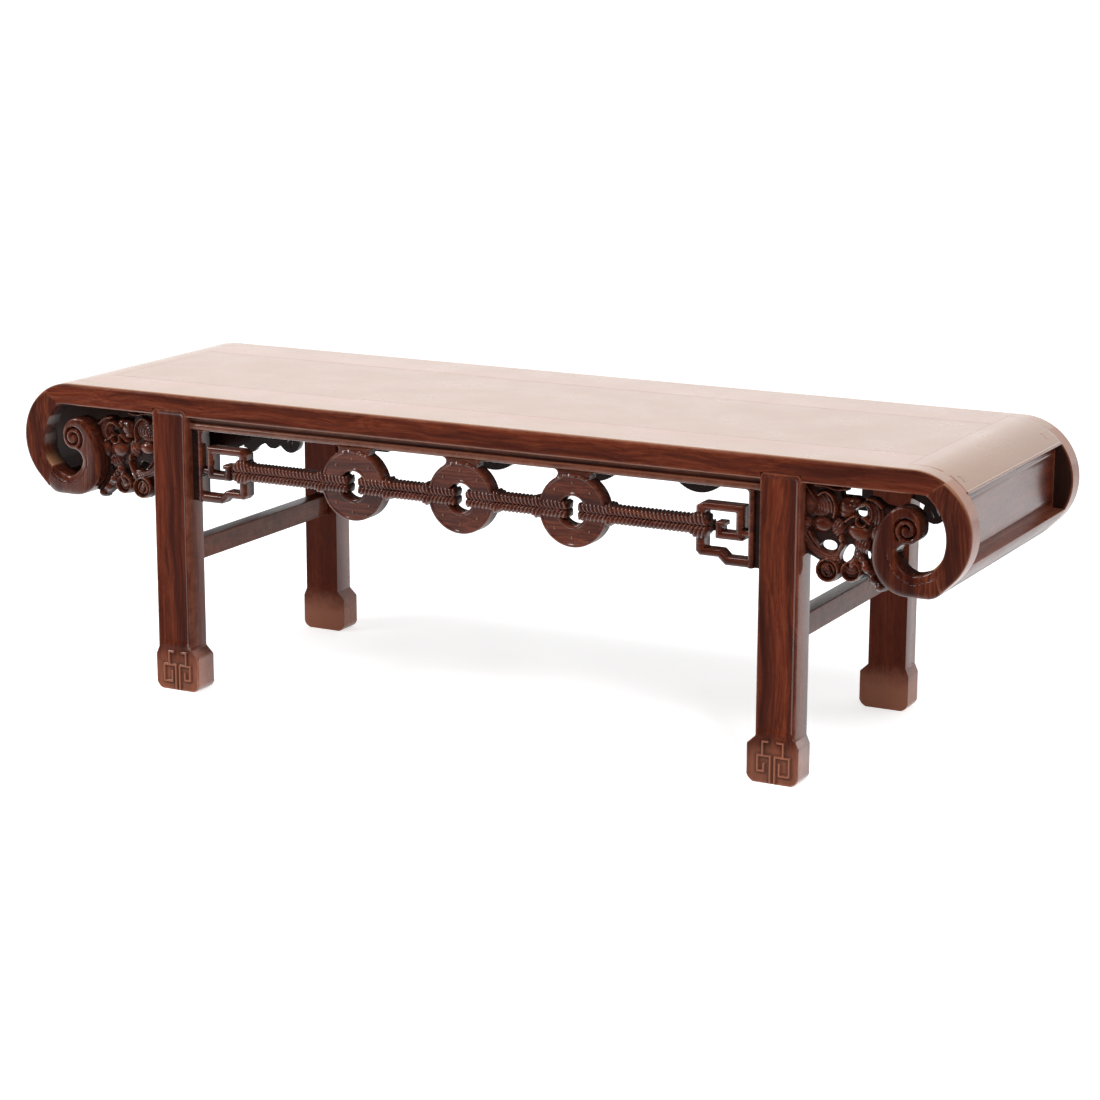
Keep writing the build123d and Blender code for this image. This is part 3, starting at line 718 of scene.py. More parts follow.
def wood(
    name,
    grain,
    seed,
    *,
    wear_and_highlight=0.6,
    grime_and_shade=0.6,
    tone=(0.1, 1.0),
    sheen=(0.25, 0.52),
    gloss=1.0,
    fade_and_sheen=0.0,
    dull=0.0,
    smooth=0.1,
    lighten_low=0.0,
    level_span=(0.86, 0.985),
):
    """A polished hardwood finish with its own grain direction, used edges and dirt, and painted highlights,
    sheen and shade.

    tone is how far the figure reaches from dark to red wood. sheen is where the wax starts to show and
    where it is full, as the surface turns away, gloss is this piece's share of it and smooth its
    roughness. Faces that look up, over the level span, take the pale colour, partly faded wood and partly
    a painted sheen, by the given share, and are dulled by dust by dull. The low share lightens what is low
    down.
    """
    material = bpy.data.materials.get(name)
    if material:
        return material
    finish = bpy.context.scene.kang_table_finish
    dark, red, light, pale, worn_and_lit_colour, grime_and_shade_colour = (
        (*colour, 1.0)
        for colour in (
            finish.dark_wood,
            finish.red_wood,
            finish.light_wood,
            finish.faded_and_sheen_wood,
            finish.worn_and_lit_wood,
            finish.grime_and_shade,
        )
    )
    material = bpy.data.materials.new(name)
    n = fresh_nodes(material)
    groups = bpy.data.node_groups
    figure = n.add(
        "ShaderNodeGroup",
        {"Stretch": GRAINS[grain], "Seed": seed},
        node_tree=groups.get("hardwood_grain") or grain_group(),
    ).outputs
    marks = n.add(
        "ShaderNodeGroup",
        {"Amount": wear_and_highlight, "Grime and shade": grime_and_shade, "Level From": level_span[0], "Level To": level_span[1]},
        node_tree=groups.get("edge_wear_and_light") or wear_and_light_group(),
    ).outputs
    colour = n.mix(n.span(figure["Figure"], 0.0, 1.0, *tone), dark, red)
    colour = n.mix(n.times(figure["Streak"], figure["Figure"], 0.45), colour, light)
    # Faces that look up take the pale colour: partly faded wood, partly a painted sheen.
    colour = n.mix(n.times(marks["Faded"], fade_and_sheen), colour, pale)
    colour = n.mix(n.times(figure["Pores"], n.span(marks["Faded"], 0.0, 1.0, 0.5, 0.12)), colour, dark)
    # Edges take the light colour: used wood, partly painted highlights, and painted highlights where deep is
    # negative.
    colour = n.mix(marks["Worn"], colour, worn_and_lit_colour)
    # Lighter towards the floor.
    colour = n.mix(n.times(marks["Low"], lighten_low), colour, worn_and_lit_colour)
    # Hollows and places behind the face take the dark colour: dirt in the hollows, and painted shade in them
    # and behind the face.
    colour = n.mix(n.math("MAXIMUM", marks["Grimy"], n.times(marks["Deep"], 0.85)), colour, grime_and_shade_colour)
    roughness = n.math("ADD", n.span(marks["Smudge"], 0.3, 0.7, 0.27, 0.33), n.times(marks["Grimy"], 0.3))
    height = n.math("SUBTRACT", n.times(figure["Streak"], 0.35), n.times(figure["Pores"], 0.65))
    bump = n.add("ShaderNodeBump", {"Height": height, "Strength": 0.3, "Distance": 0.0003})
    facing = n.add("ShaderNodeLayerWeight", {"Blend": 0.5}).outputs["Facing"]
    clear = n.math("SUBTRACT", 1.0, n.times(marks["Faded"], dull))
    # The wax is cut back under the painted shade from deep.
    clear = n.times(clear, n.span(marks["Deep"], 0.0, 1.0, 1.0, 0.2))
    n.surface(
        "ShaderNodeBsdfPrincipled",
        {
            "Base Color": colour,
            "Roughness": roughness,
            "IOR": 1.15,
            "Coat Weight": n.times(n.span(facing, *sheen), clear, finish.gloss * gloss),
            "Coat Roughness": smooth,
            "Coat IOR": 1.8,
            "Normal": bump.outputs[0],
        },
    )
    return material


# ---------------------------------------------------------------------------------------------------
# The pieces


def at_scroll(x_share, z_share):
    """A point of the right-hand scroll, in scroll radii from its middle."""
    return np.array([SCROLL_X + x_share * RADIUS, SCROLL_Z + z_share * RADIUS])


JOINT_INNER = at_scroll(0.405, -0.5)
JOINT_OUTER = at_scroll(math.sqrt(2) - 0.89, -0.89)
HEEL_SHARE = 0.125
HEEL_LOW = at_scroll(math.sqrt(2) - 1 - HEEL_SHARE, -1)
HEEL_RADIUS = HEEL_SHARE * RADIUS / math.tan(math.pi / 8)
HEEL = arc(HEEL_LOW + (0, HEEL_RADIUS), HEEL_RADIUS, -math.pi / 4, -math.pi / 2, 9)
TANGENT_END = at_scroll(math.cos(math.pi / 4), -math.sin(math.pi / 4))
MITRE_INNER = np.array([SCROLL_X + MITRE_OUT, RAIL_Z])
ARM_CORNER = at_scroll(0.5415, -0.323)
THROAT_START = at_scroll(-0.02, -0.177)
# The edge of the volute's throat, from under its head to the joint with the scroll board
THROAT_POINTS = ((-0.15, -0.21), (-0.235, -0.36), (-0.14, -0.55), (0.05, -0.66), (0.2385, -0.615))
THROAT = arcs([THROAT_START, *(at_scroll(*p) for p in THROAT_POINTS), JOINT_INNER], (12, 18, 12))
# The volute's free edge: its heel, its back and head, and the throat
BACK_POINTS = ((-0.03, -1), (-0.42, -0.85), (-0.615, -0.35), (-0.53, 0.05), (-0.36, 0.28))
HEAD_POINTS = ((-0.09, 0.39), (0.17, 0.06), (0.12, -0.10))
BACK = [at_scroll(*p) for p in BACK_POINTS + HEAD_POINTS] + [THROAT_START]
VOLUTE_EDGE = joined([JOINT_OUTER, HEEL[0]], HEEL, [HEEL_LOW, BACK[0]], arcs(BACK, (24, 20, 24, 12)), THROAT)


def face_moulding(sizes):
    """Section of rail and scroll board: (from the outer edge 1 or the inner edge 0, distance, set-back)."""
    bead, arris = sizes.rail_bead / MM, sizes.rail_arris / MM
    section = [
        (0, 0.0, 2.2),
        (0, 0.8, 1.1),
        (0, 1.7, 0.4),
        (0, 0.3 * bead, 0.25),
        (0, 0.6 * bead, 0.25),
        (0, 0.84 * bead, 0.6),
        (0, 0.93 * bead, 0.4),
        (0, bead, 0.5),
        (0, bead + 0.7, 0.35),
        (0, bead + 1.3, 0.1),
        (0, bead + 2.4, 0.0),
        (0, bead + 4.5, 0.0),
        (1, arris + 4.0, 0.0),
        (1, arris + 1.2, 0.0),
    ]
    for angle in np.radians([0, 20, 40, 60, 78, 90]):
        section.append((1, arris * (1 - math.sin(angle)), arris * (1 - math.cos(angle))))
    section.append((1, 0.0, arris + 0.8))
    return section


def moulded_row(top, low, section):
    """Places of a face moulding between the outer edge of a board, at top, and its inner edge, at low."""
    run = np.hypot(*(top - low))
    row = []
    for from_top, distance, back in section:
        start, end = (top, low) if from_top else (low, top)
        x, z = start + (end - start) * distance / run
        row.append((x, FACE_Y + back, z))
    return row


class KANGTABLE_OT_long_rails(bpy.types.Operator):
    """Makes the front and back rails of the top, moulded along their faces and rolling over at both ends"""

    bl_idname = "kang_table.long_rails"
    bl_label = "Long rails"

    def execute(self, context):
        section = face_moulding(context.scene.kang_table_sizes)
        over_apron, over_bay = np.arange(0.0, LEG_IN, 60.0), (430.0, 465.0, CROSS_X)
        stations = [(x, False) for x in over_apron]
        stations += [(LEG_IN, False), (LEG_IN, True), (LEG_OUT, True), (LEG_OUT, False)]
        stations += [(x, False) for x in over_bay]
        rows = [self.row((x, TOP_Z), (x, RAIL_Z), section, RAIL_BACK_Y, notched) for x, notched in stations]
        rows.append(self.row((CROSS_X, TOP_Z), (CROSS_X, RAIL_Z), section, BOARD_Y))
        roll = arc((SCROLL_X, SCROLL_Z), RADIUS, math.pi / 2, MITRE_ANGLE, 14)
        for top, low_x in zip(roll, np.linspace(SCROLL_X, MITRE_INNER[0], len(roll))):
            rows.append(self.row(top, (low_x, RAIL_Z), section, BOARD_Y))
        right = np.array(rows)
        left = right[:0:-1] * (-1, 1, 1)
        shape = skin(np.concatenate([left, right]))

        # Painted shade under the rail behind its face, and a painted highlight as a light line along its
        # front bottom edge, given as negative.
        def under_face(places, depth):
            low = places[:, 2] < RAIL_Z + 1.0
            return 1.0 * (low & (depth > 4.0)) - 0.75 * (low & (depth < 3.0) & (places[:, 0] < SCROLL_X))

        tone, span = (0.08, 0.72), (0.7, 0.87)
        finish = wood("rail_hardwood", "x", 0.3, wear_and_highlight=0.4, tone=tone, fade_and_sheen=0.95, dull=0.4, level_span=span)
        copies(SIDES, "top_rail", "moulded", shape, finish, deep=under_face)
        return {"FINISHED"}

    @staticmethod
    def row(top, low, section, back_y, notched=False):
        """One section of the rail, notched for the lip of a leg where asked."""
        top, low = np.array(top, float), np.array(low, float)
        row = moulded_row(top, low, section)
        if notched:
            lip_points = 5  # points of the section that lie behind the lip
            for index, (from_top, distance, _) in enumerate(section):
                if not from_top and distance < LIP_HEIGHT + 0.2:
                    rise = LIP_HEIGHT * min(index / (lip_points - 1), 1)
                    above = FACE_Y + (7.5 if index == lip_points else 0.3)
                    row[index] = (low[0], LIP_BACK_Y if index < lip_points else above, low[1] + rise)
        ease = 0.3
        edge = ease if back_y > BOARD_Y + 1 else 0
        return row + [
            (top[0], BOARD_Y - ease, top[1]),
            (top[0], BOARD_Y, top[1]),
            (top[0], back_y - edge, top[1]),
            (top[0], back_y, top[1] - edge),
            (low[0], back_y, low[1]),
            (low[0], BOARD_Y, low[1]),
        ]


class KANGTABLE_OT_top_panel(bpy.types.Operator):
    """Makes the panel of the top and the battens under it"""

    bl_idname = "kang_table.top_panel"
    bl_label = "Top panel and battens"

    def execute(self, context):
        gap = context.scene.kang_table_sizes.joint_gap / MM
        under = node_box("panel_batten_middle")[1][2]
        half = (CROSS_X - 0.05, -RAIL_BACK_Y - 0.05)
        steps = [(0, under), (0, TOP_Z - gap), (gap, TOP_Z - 0.02), (6, TOP_Z), (40, TOP_Z)]
        shape = stepped_board((0, 0, 0), half, steps, across=(1, 0, 0), up=(0, 1, 0), out=(0, 0, 1))
        finish = wood("panel_hardwood", "x", 5.1, wear_and_highlight=0.1, grime_and_shade=0.4, fade_and_sheen=0.95, dull=0.44)
        piece("top_panel_planed", shape, ["top_panel"], finish)
        finish = wood("under_hardwood", "y", 7.3, wear_and_highlight=0.3, grime_and_shade=0.5)
        for side in ("left", "middle", "right"):
            node = f"panel_batten_{side}"
            low, high = node_box(node)
            low[1], high[1] = RAIL_BACK_Y, -RAIL_BACK_Y
            piece(f"{node}_eased", bar(low, high, 1.2), [node], finish)
        return {"FINISHED"}


class KANGTABLE_OT_end_rails(bpy.types.Operator):
    """Makes the end rails that roll over between the scroll boards, with their plugs"""

    bl_idname = "kang_table.end_rails"
    bl_label = "End rails and plugs"

    def execute(self, context):
        gap = context.scene.kang_table_sizes.joint_gap / MM
        roll_end = math.asin((RAIL_Z + 3.2 - SCROLL_Z) / RADIUS)
        roll = arc((SCROLL_X, SCROLL_Z), RADIUS, math.pi / 2, roll_end, 30)
        edge = [
            (ROLL_END_X - 0.9, RAIL_Z + 2.9),
            (ROLL_END_X - 1.1, RAIL_Z + 2.3),
            (ROLL_END_X - 0.2, RAIL_Z + 1.9),
            (ROLL_END_X - 0.1, RAIL_Z + 0.8),
            (ROLL_END_X - 0.7, RAIL_Z),
        ]
        under = [(ROLL_END_X - 12, RAIL_Z), (CROSS_X + 12, RAIL_Z), (CROSS_X, RAIL_Z)]
        top = [(CROSS_X, TOP_Z - gap), (CROSS_X + gap, TOP_Z - 0.02), (CROSS_X + 4, TOP_Z)]
        shape = shaped_board(np.concatenate([top, roll, edge, under]), -BOARD_Y, gap, (-60, 60))

        # Painted shade on the underside of the end rail.
        def under_face(places, depth):
            return (places[:, 2] < RAIL_Z + 0.5) & (places[:, 0] < ROLL_END_X - 5.0)

        span = (0.1, 0.75)
        finish = wood("end_rail_hardwood", "y", 2.2, wear_and_highlight=0.3, grime_and_shade=0.5, fade_and_sheen=0.95, dull=0.4, level_span=span)
        copies(ENDS, "end_rail", "rolled", shape, finish, deep=under_face)
        plug_angle, from_face, half_sizes = math.radians(54.0), 45.0, (6.5, 5.0)
        out = np.array([math.cos(plug_angle), 0, math.sin(plug_angle)])
        down = np.array([out[2], 0, -out[0]])
        centre = np.array([SCROLL_X, -FACE_Y - from_face, SCROLL_Z]) + out * (RADIUS - 0.35)
        steps = [(0, -8), (0, 0.15), (0.5, 0.5), (3.0, 0.55)]
        points, faces = stepped_board(centre, half_sizes, steps, across=(0, 1, 0), up=down, out=out)
        plugs = [(points * (side_x, side_y, 1), faces) for side_x in (1, -1) for side_y in (1, -1)]
        span = (0.25, 0.9)
        finish = wood("plug_hardwood", "z", 9.4, wear_and_highlight=0.3, grime_and_shade=0.5, fade_and_sheen=0.9, dull=0.4, level_span=span)
        piece("end_rail_plugs_shaved", together(*plugs), ["end_rail_plugs"], finish)
        return {"FINISHED"}


class KANGTABLE_OT_scroll_arms(bpy.types.Operator):
    """Makes the four scroll boards, moulded like the rails they mitre into"""

    bl_idname = "kang_table.scroll_arms"
    bl_label = "Scroll boards"

    def execute(self, context):
        section = face_moulding(context.scene.kang_table_sizes)
        outer = joined(
            arc((SCROLL_X, SCROLL_Z), RADIUS, MITRE_ANGLE, -math.pi / 4, 60), [TANGENT_END, JOINT_OUTER]
        )
        middle = at_scroll(1, 0) - (ARM_WIDTH, 0)
        inner = arcs([MITRE_INNER, middle, ARM_CORNER, at_scroll(0.485, -0.42), JOINT_INNER], (50, 10))
        rows = []
        for top, low in zip(even(outer, 48), even(inner, 48)):
            inward = (low - top) / np.hypot(*(top - low))
            back = [(top, BOARD_Y - 3), (top, BOARD_Y - 0.35)]
            back += [(top + inward * 0.35, BOARD_Y), (top + inward * 3, BOARD_Y), (low, BOARD_Y)]
            rows.append(moulded_row(top, low, section) + [(x, y, z) for (x, z), y in back])
        shape = skin(rows)

        # Painted shade on the scroll's inner wall and back face, and a light line along its outer edge,
        # partly used wood and partly a painted highlight.
        def inner_wall(places, depth):
            radius = np.hypot(places[:, 0] - SCROLL_X, places[:, 2] - SCROLL_Z)
            back = places[:, 1] < 0.1 - BOARD_Y
            dark = np.maximum(step_up(depth, 2.0, 5.0) * (radius < RADIUS - 3.0), 0.85 * back)
            return np.where((radius > RADIUS - 0.6) & (depth > 1.0), -0.55, dark)

        tone, span = (0.0, 0.32), (0.1, 0.75)
        finish = wood("scroll_hardwood", "z", 1.4, tone=tone, gloss=0.55, fade_and_sheen=0.9, dull=0.4, level_span=span)
        copies(CORNERS, "scroll_arm", "moulded", shape, finish, deep=inner_wall)
        return {"FINISHED"}


class KANGTABLE_OT_volutes(bpy.types.Operator):
    """Carves the four volutes that end the scrolls"""

    bl_idname = "kang_table.volutes"
    bl_label = "Volutes"

    def execute(self, context):
        sizes = context.scene.kang_table_sizes
        head, head_radius, arm_radius = at_scroll(-0.055, 0.04), 22.0, 38.0
        start, turn = math.radians(232), math.radians(560)
        share = np.linspace(0, 1, 120)
        radius = 10.5 * (1 - share) ** 0.9 + 3.2
        angles = start - turn * share
        spiral = head + np.stack([radius * np.cos(angles), radius * np.sin(angles)], 1)
        bead, groove = sizes.rail_bead / MM, sizes.volute_groove / MM

        def set_back(points, distance):
            free, cut, to_throat = (distances(points, path) for path in (VOLUTE_EDGE, spiral, THROAT))
            arm = step_up(np.hypot(*(points - head).T), head_radius, arm_radius)
            back = rounded(free, 5.5 + 4.5 * arm, 3.2 + 0.8 * arm)
            back = np.maximum(back, rounded(cut, 3.6, groove)) + channel(cut, 1.5, 1.8)
            return back + channel(np.abs(to_throat - bead - 0.4), 0.9, 1.0) * arm

        lines = [spiral]
        for shift in (-2.0, -0.8, 0.8, 2.0):
            lines.append(head + (spiral - head) * ((radius + shift) / radius)[:, None])
        rims = (0.4, 0.9, 1.7, 2.8, 4.2)
        edge = [VOLUTE_EDGE]
        shape = relief(edge, set_back, FACE_Y, BOARD_Y, step=1.1, rims=rims, lines=lines, edge_step=1.1)
        tone, sheen = (0.0, 0.25), (0.1, 0.55)
        finish = wood("volute_hardwood", "z", 1.4, wear_and_highlight=0.45, grime_and_shade=0.95, tone=tone, sheen=sheen, smooth=0.08)
        # Painted shade grows with depth behind the carved face.
        copies(CORNERS, "scroll_volute", "carved", shape, finish, deep=shade_behind(2.0, 8.0))
        return {"FINISHED"}


class KANGTABLE_OT_end_panels(bpy.types.Operator):
    """Makes the recessed end panels with their raised fields, and the lower end rails under them"""

    bl_idname = "kang_table.end_panels"
    bl_label = "End panels and lower rails"

    def execute(self, context):
        rise = context.scene.kang_table_sizes.field_rise / MM
        steps = [
            (0, -PANEL_THICK),
            (0, -1.6),
            (5.0, -1.6),
            (5.4, -1.5),
            (6.2, -1.6 + rise * 0.5),
            (7.4, -1.6 + rise * 0.6),
            (8.4, -0.25),
            (9.2, -0.02),
            (14.0, 0.0),
        ]
        half = (-BOARD_Y, (RAIL_Z - LEDGE_Z) / 2)
        centre = (PANEL_X, 0, (LEDGE_Z + RAIL_Z) / 2)
        shape = stepped_board(centre, half, steps, across=(0, 1, 0), up=(0, 0, 1), out=(1, 0, 0))
        ledge_x = SCROLL_X + math.sqrt(RADIUS**2 - LEDGE_DROP**2)
        back_x, back_low_z = PANEL_X - PANEL_THICK, 234.5
        ledge_angle = -math.asin(LEDGE_DROP / RADIUS) - 0.03
        roll = arc((SCROLL_X, SCROLL_Z), RADIUS, ledge_angle, -math.pi / 4, 14)
        ledge = [(x, LEDGE_Z) for x in (back_x, PANEL_X, ledge_x - 1.6)] + [(ledge_x - 0.5, LEDGE_Z - 0.5)]
        under = [(HEEL_LOW[0] - 7.0, HEEL_LOW[1]), (back_x, back_low_z)]
        profile = np.concatenate([ledge, joined(roll, [TANGENT_END, HEEL[0]], HEEL), under])
        lower = shaped_board(profile, -BOARD_Y, 0.35, (0,))

        # Painted shade on the faces inside the table.
        def inner_face(places, depth):
            return places[:, 0] < back_x + 1.0

        tone = (0.4, 0.7)
        finish = wood("end_hardwood", "y", 3.7, wear_and_highlight=0.3, grime_and_shade=0.7, tone=tone, gloss=0.84, smooth=0.2)
        copies(ENDS, "end_panel", "fielded", shape, finish, smooth=20, deep=inner_face)
        tone = (0.3, 0.7)
        finish = wood("lower_rail_hardwood", "y", 3.7, wear_and_highlight=0.3, grime_and_shade=0.5, tone=tone, gloss=0.2, smooth=0.2)
        copies(ENDS, "end_lower_rail", "rolled", lower, finish, deep=inner_face)
        return {"FINISHED"}


# The key pattern on a foot, as paths from the foot's middle
FOOT_LINES = [
    [(-2.6, 0.5), (-2.6, 29.3), (-16.8, 29.3), (-16.8, 12.8), (-9.8, 12.8), (-9.8, 20.5)],
    [(2.6, 0.5), (2.6, 29.3), (18.6, 29.3), (18.6, 9.8), (7.6, 9.8), (7.6, 22.5)],
    [(-11.3, 29.3), (-11.3, 44.6), (-5.0, 44.6)],
    [(11.6, 29.3), (11.6, 44.6), (5.0, 44.6)],
]


class KANGTABLE_OT_legs(bpy.types.Operator):
    """Makes the four legs with sunk fields between edge strips, lips over the rail and carved feet"""

    bl_idname = "kang_table.legs"
    bl_label = "Legs"

    def execute(self, context):
        sizes = context.scene.kang_table_sizes
        bead, facet, hollow = sizes.leg_bead / MM, sizes.leg_facet / MM, sizes.leg_hollow / MM
        carving, line = sizes.foot_carving / MM, sizes.foot_line / MM
        foot_in, foot_out = LEG_LOW[0], LEG_HIGH[0]
        foot_z, slope_z = 41.0, 50.0
        foot_end, field_start = (47, 56), (48, 60)
        middle = (foot_in + foot_out) / 2
        outline = filleted(
            [
                (foot_in, 0),
                (foot_out, 0),
                (foot_out, foot_z),
                (LEG_OUT, slope_z),
                (LEG_OUT, LIP_Z),
                (LEG_IN, LIP_Z),
                (LEG_IN, slope_z),
                (foot_in, foot_z),
            ],
            [8.0, 8.0, 1.5, 2.0, 4.0, 4.0, 2.0, 1.5],
        )
        paths = [np.array([(middle + x, z) for x, z in path]) for path in FOOT_LINES]

        def set_back(points, distance):
            x, z = points.T
            side = np.minimum(x - LEG_IN, LEG_OUT - x)
            above = step_up(z, *field_start) * (1 - step_up(z, LIP_Z - 7, LIP_Z - 2))
            slope = np.clip((side - bead) / facet, 0, 1)
            near = np.min([distances(points, path) for path in paths], axis=0)
            foot = carving * step_up(near, 0.3 * line, 0.65 * line) * step_up(distance, 0.0, 2.6)
            foot = (1 - above) * (1 - step_up(z, *foot_end)) * foot
            return rounded(distance, 1.5, 1.3) + above * hollow * slope + foot

        insets = (bead, bead + facet)
        lines = [[(x, slope_z), (x, LIP_Z - 2)] for i in insets for x in (LEG_IN + i, LEG_OUT - i)]
        for path in paths:
            lines += side_paths(path, 0.3 * line) + side_paths(path, 0.65 * line)
        back_y, rims = FACE_Y + LEG_DEPTH, (0.5, 1.1, 1.9)
        lines += paths
        shape = relief([outline], set_back, FACE_Y, back_y, step=2.0, rims=rims, lines=lines, edge_step=1.4)
        behind = shape[0][:, 1] > LIP_BACK_Y
        shape[0][behind, 2] = np.minimum(shape[0][behind, 2], RAIL_Z)

        # Painted highlight on the raised lines of the key pattern, given as negative, and painted shade in
        # the sunk ground beside them.
        def foot_marks(places, depth):
            near = np.min([distances(places[:, [0, 2]], path) for path in paths], axis=0)
            on_foot = (places[:, 2] < foot_end[0]) & (depth < 4)
            return on_foot * np.where(near < 0.5 * line, -0.55, 0.5 * (1 - step_up(near, 2.0, 5.0)))

        front = wood("leg_hardwood", "z", 4.6, wear_and_highlight=0.8, tone=(0.05, 0.85), gloss=0.9, lighten_low=0.4)
        # The back legs take a lighter, paler copy of the leg wood: painted light.
        back = wood("back_leg_lit_hardwood", "z", 7.9, wear_and_highlight=0.5, tone=(0.7, 1.1), gloss=0.34, lighten_low=0.9)
        copies(CORNERS, "leg", "carved", shape, front, deep=foot_marks, back_material=back)
        return {"FINISHED"}


class KANGTABLE_OT_stretchers(bpy.types.Operator):
    """Makes the stretchers between the front and back leg of each end"""

    bl_idname = "kang_table.stretchers"
    bl_label = "Stretchers"

    def execute(self, context):
        low, high = node_box("stretcher_right")
        low[1], high[1] = FACE_Y + LEG_DEPTH, -FACE_Y - LEG_DEPTH
        tone = (0.0, 0.4)
        finish = wood("stretcher_hardwood", "y", 6.2, wear_and_highlight=0.5, grime_and_shade=0.5, tone=tone, gloss=0.19, dull=0.97)
        copies(ENDS, "stretcher", "eased", bar(low, high, 1.4), finish)
        return {"FINISHED"}


def carved_finish(name, seed):
    """The darker finish of the carved pieces, with dust and painted shade in their hollows."""
    tone, sheen = (0.0, 0.34), (0.04, 0.5)
    return wood(name, "x", seed, wear_and_highlight=0.45, grime_and_shade=0.95, tone=tone, sheen=sheen, smooth=0.08)


class KANGTABLE_OT_apron_heads(bpy.types.Operator):
    """Makes the moulded heads of the aprons"""

    bl_idname = "kang_table.apron_heads"
    bl_label = "Apron heads"

    def execute(self, context):
        face, back = HEAD_LOW[1], HEAD_HIGH[1]
        section = [
            (face + 2.6, 0.0),
            (face + 1.4, 0.5),
            (face + 0.5, 1.6),
            (face + 0.05, 3.2),
            (face + 0.3, 5.2),
            (face + 1.0, 6.6),
            (face + 2.2, 7.4),
            (face + 3.0, 8.0),
            (face + 3.4, 8.6),
            (face + 3.6, 10.0),
            (face + 3.6, HEAD_HEIGHT),
            (back, HEAD_HEIGHT),
            (back, 1.0),
            (back - 1.0, 0.0),
        ]
        stations = (HEAD_LOW[0], -240.0, -120.0, 0.0, 120.0, 240.0, HEAD_HIGH[0])
        shape = skin([[(x, y, HEAD_Z + z) for y, z in section] for x in stations])

        # Painted shade in the sunk band under the rail, and a painted highlight along the top of the bead,
        # given as negative.
        def head_groove(places, depth):
            rubbed_and_lit = (depth > 0.7) & (depth < 2.4) & (places[:, 2] > HEAD_Z + 6)
            return 0.55 * step_up(depth, 2.4, 4.0) - 0.6 * rubbed_and_lit

        finish = carved_finish("apron_hardwood", 8.1)
        copies(SIDES, "apron_head", "moulded", shape, finish, deep=head_groove)
        return {"FINISHED"}


def rounded_box(points, low, high, radius):
    """Signed distance to a rectangle with rounded corners, negative inside."""
    low, high = np.array(low, float), np.array(high, float)
    offset = np.abs(points - (low + high) / 2) - (high - low) / 2 + radius
    return np.hypot(*np.maximum(offset, 0).T) + np.minimum(offset.max(1), 0) - radius


def fret_field(points):
    """Signed distance to the key-pattern fret and its stile, negative inside."""
    x, z = points.T
    fret_in, foot_z = FRET_LOW[0], FRET_LOW[2]
    fret_out, top = STILE_IN - 6.0, HEAD_Z - 17.5
    thick, post = 8.0, 10.0
    shelf_in, shelf_z = STILE_IN - 37.0, HEAD_Z - 54.5
    low_z = foot_z + 7.5
    bars = [
        ((STILE_IN, foot_z), (LEG_IN + 4, HEAD_Z + 4)),
        ((fret_out - 1, LINK_LOW), (STILE_IN + 1, LINK_HIGH)),
        ((fret_in, top - thick), (fret_out, top)),
        ((fret_out - thick, shelf_z), (fret_out, top)),
        ((fret_in, low_z), (fret_in + post, top)),
        ((shelf_in, shelf_z), (fret_out, shelf_z + thick)),
        ((shelf_in, shelf_z), (shelf_in + 7.0, shelf_z + 18.0)),
        ((shelf_in, shelf_z + 13.0), (shelf_in + 10.0, shelf_z + 18.0)),
        ((fret_in, low_z), (STILE_IN - 31.0, low_z + thick)),
        ((STILE_IN - 25.0, foot_z), (STILE_IN + 4.0, foot_z + thick + 1)),
    ]
    nearest = np.full(len(points), 1e9)
    for low, high in bars:
        nearest = np.minimum(nearest, rounded_box(points, low, high, 1.2))
    step = [(STILE_IN - 32.0, low_z + thick / 2), (STILE_IN - 24.0, foot_z + thick / 2)]
    nearest = np.minimum(nearest, distances(points, step) - thick / 2)
    # Cut corners of the far upright, and a rounded corner where stile and head meet
    cut, corner = 4.5, 4.5
    nearest = np.maximum(nearest, (7.0 * (z - top + cut) - cut * (x - fret_in)) / math.hypot(7.0, cut))
    nearest = np.maximum(nearest, (cut - (x - fret_in) - (z - low_z)) / math.sqrt(2))
    bracket = np.maximum(STILE_IN - corner - x, HEAD_Z - corner - z)
    bracket = np.maximum(bracket, corner - np.hypot(x - STILE_IN + corner, z - HEAD_Z + corner))
    nearest = np.where(x < STILE_IN + 1, np.minimum(nearest, bracket), nearest)
    return np.maximum(np.maximum(nearest, z - HEAD_Z), x - LEG_IN)


class KANGTABLE_OT_frets(bpy.types.Operator):
    """Carves the apron's stiles and key-pattern frets"""

    bl_idname = "kang_table.frets"
    bl_label = "Stiles and frets"

    def execute(self, context):
        round_size = context.scene.kang_table_sizes.fret_round / MM
        face, back = FRET_LOW[1], FRET_HIGH[1]
        bead_x = STILE_IN + 6.0
        low, high = (FRET_LOW[0] - 4, FRET_LOW[2] - 4), (LEG_IN + 3, HEAD_Z + 2)
        loops = contour(fret_field, low, high, step=0.7)

        def set_back(points, distance):
            x, z = points.T
            bead = rounded(np.minimum(x - STILE_IN, bead_x - x).clip(0), 2.8, 1.7)
            side = np.where(x > bead_x, 5.0, bead)
            link = (x > STILE_IN - 6.5) & (z > LINK_LOW - 2) & (z < LINK_HIGH + 2)
            return np.where(x > STILE_IN, side, rounded(distance, round_size, 2.6) + 2.0 * link)

        ends = (FRET_LOW[2] + 1.5, HEAD_Z - 0.5)
        lines = [[(x, z) for z in ends] for x in (bead_x - 0.15, bead_x + 0.15)]
        rims = (0.4, 1.0, 2.0, 3.0)
        shape = relief(loops, set_back, face, back, step=1.3, rims=rims, lines=lines, edge_step=0.9)
        finish = carved_finish("apron_hardwood", 8.1)
        # Painted shade grows with depth behind the carved face.
        copies(CORNERS, "apron_fret", "carved", shape, finish, deep=shade_behind(1.8, 5.5))
        return {"FINISHED"}


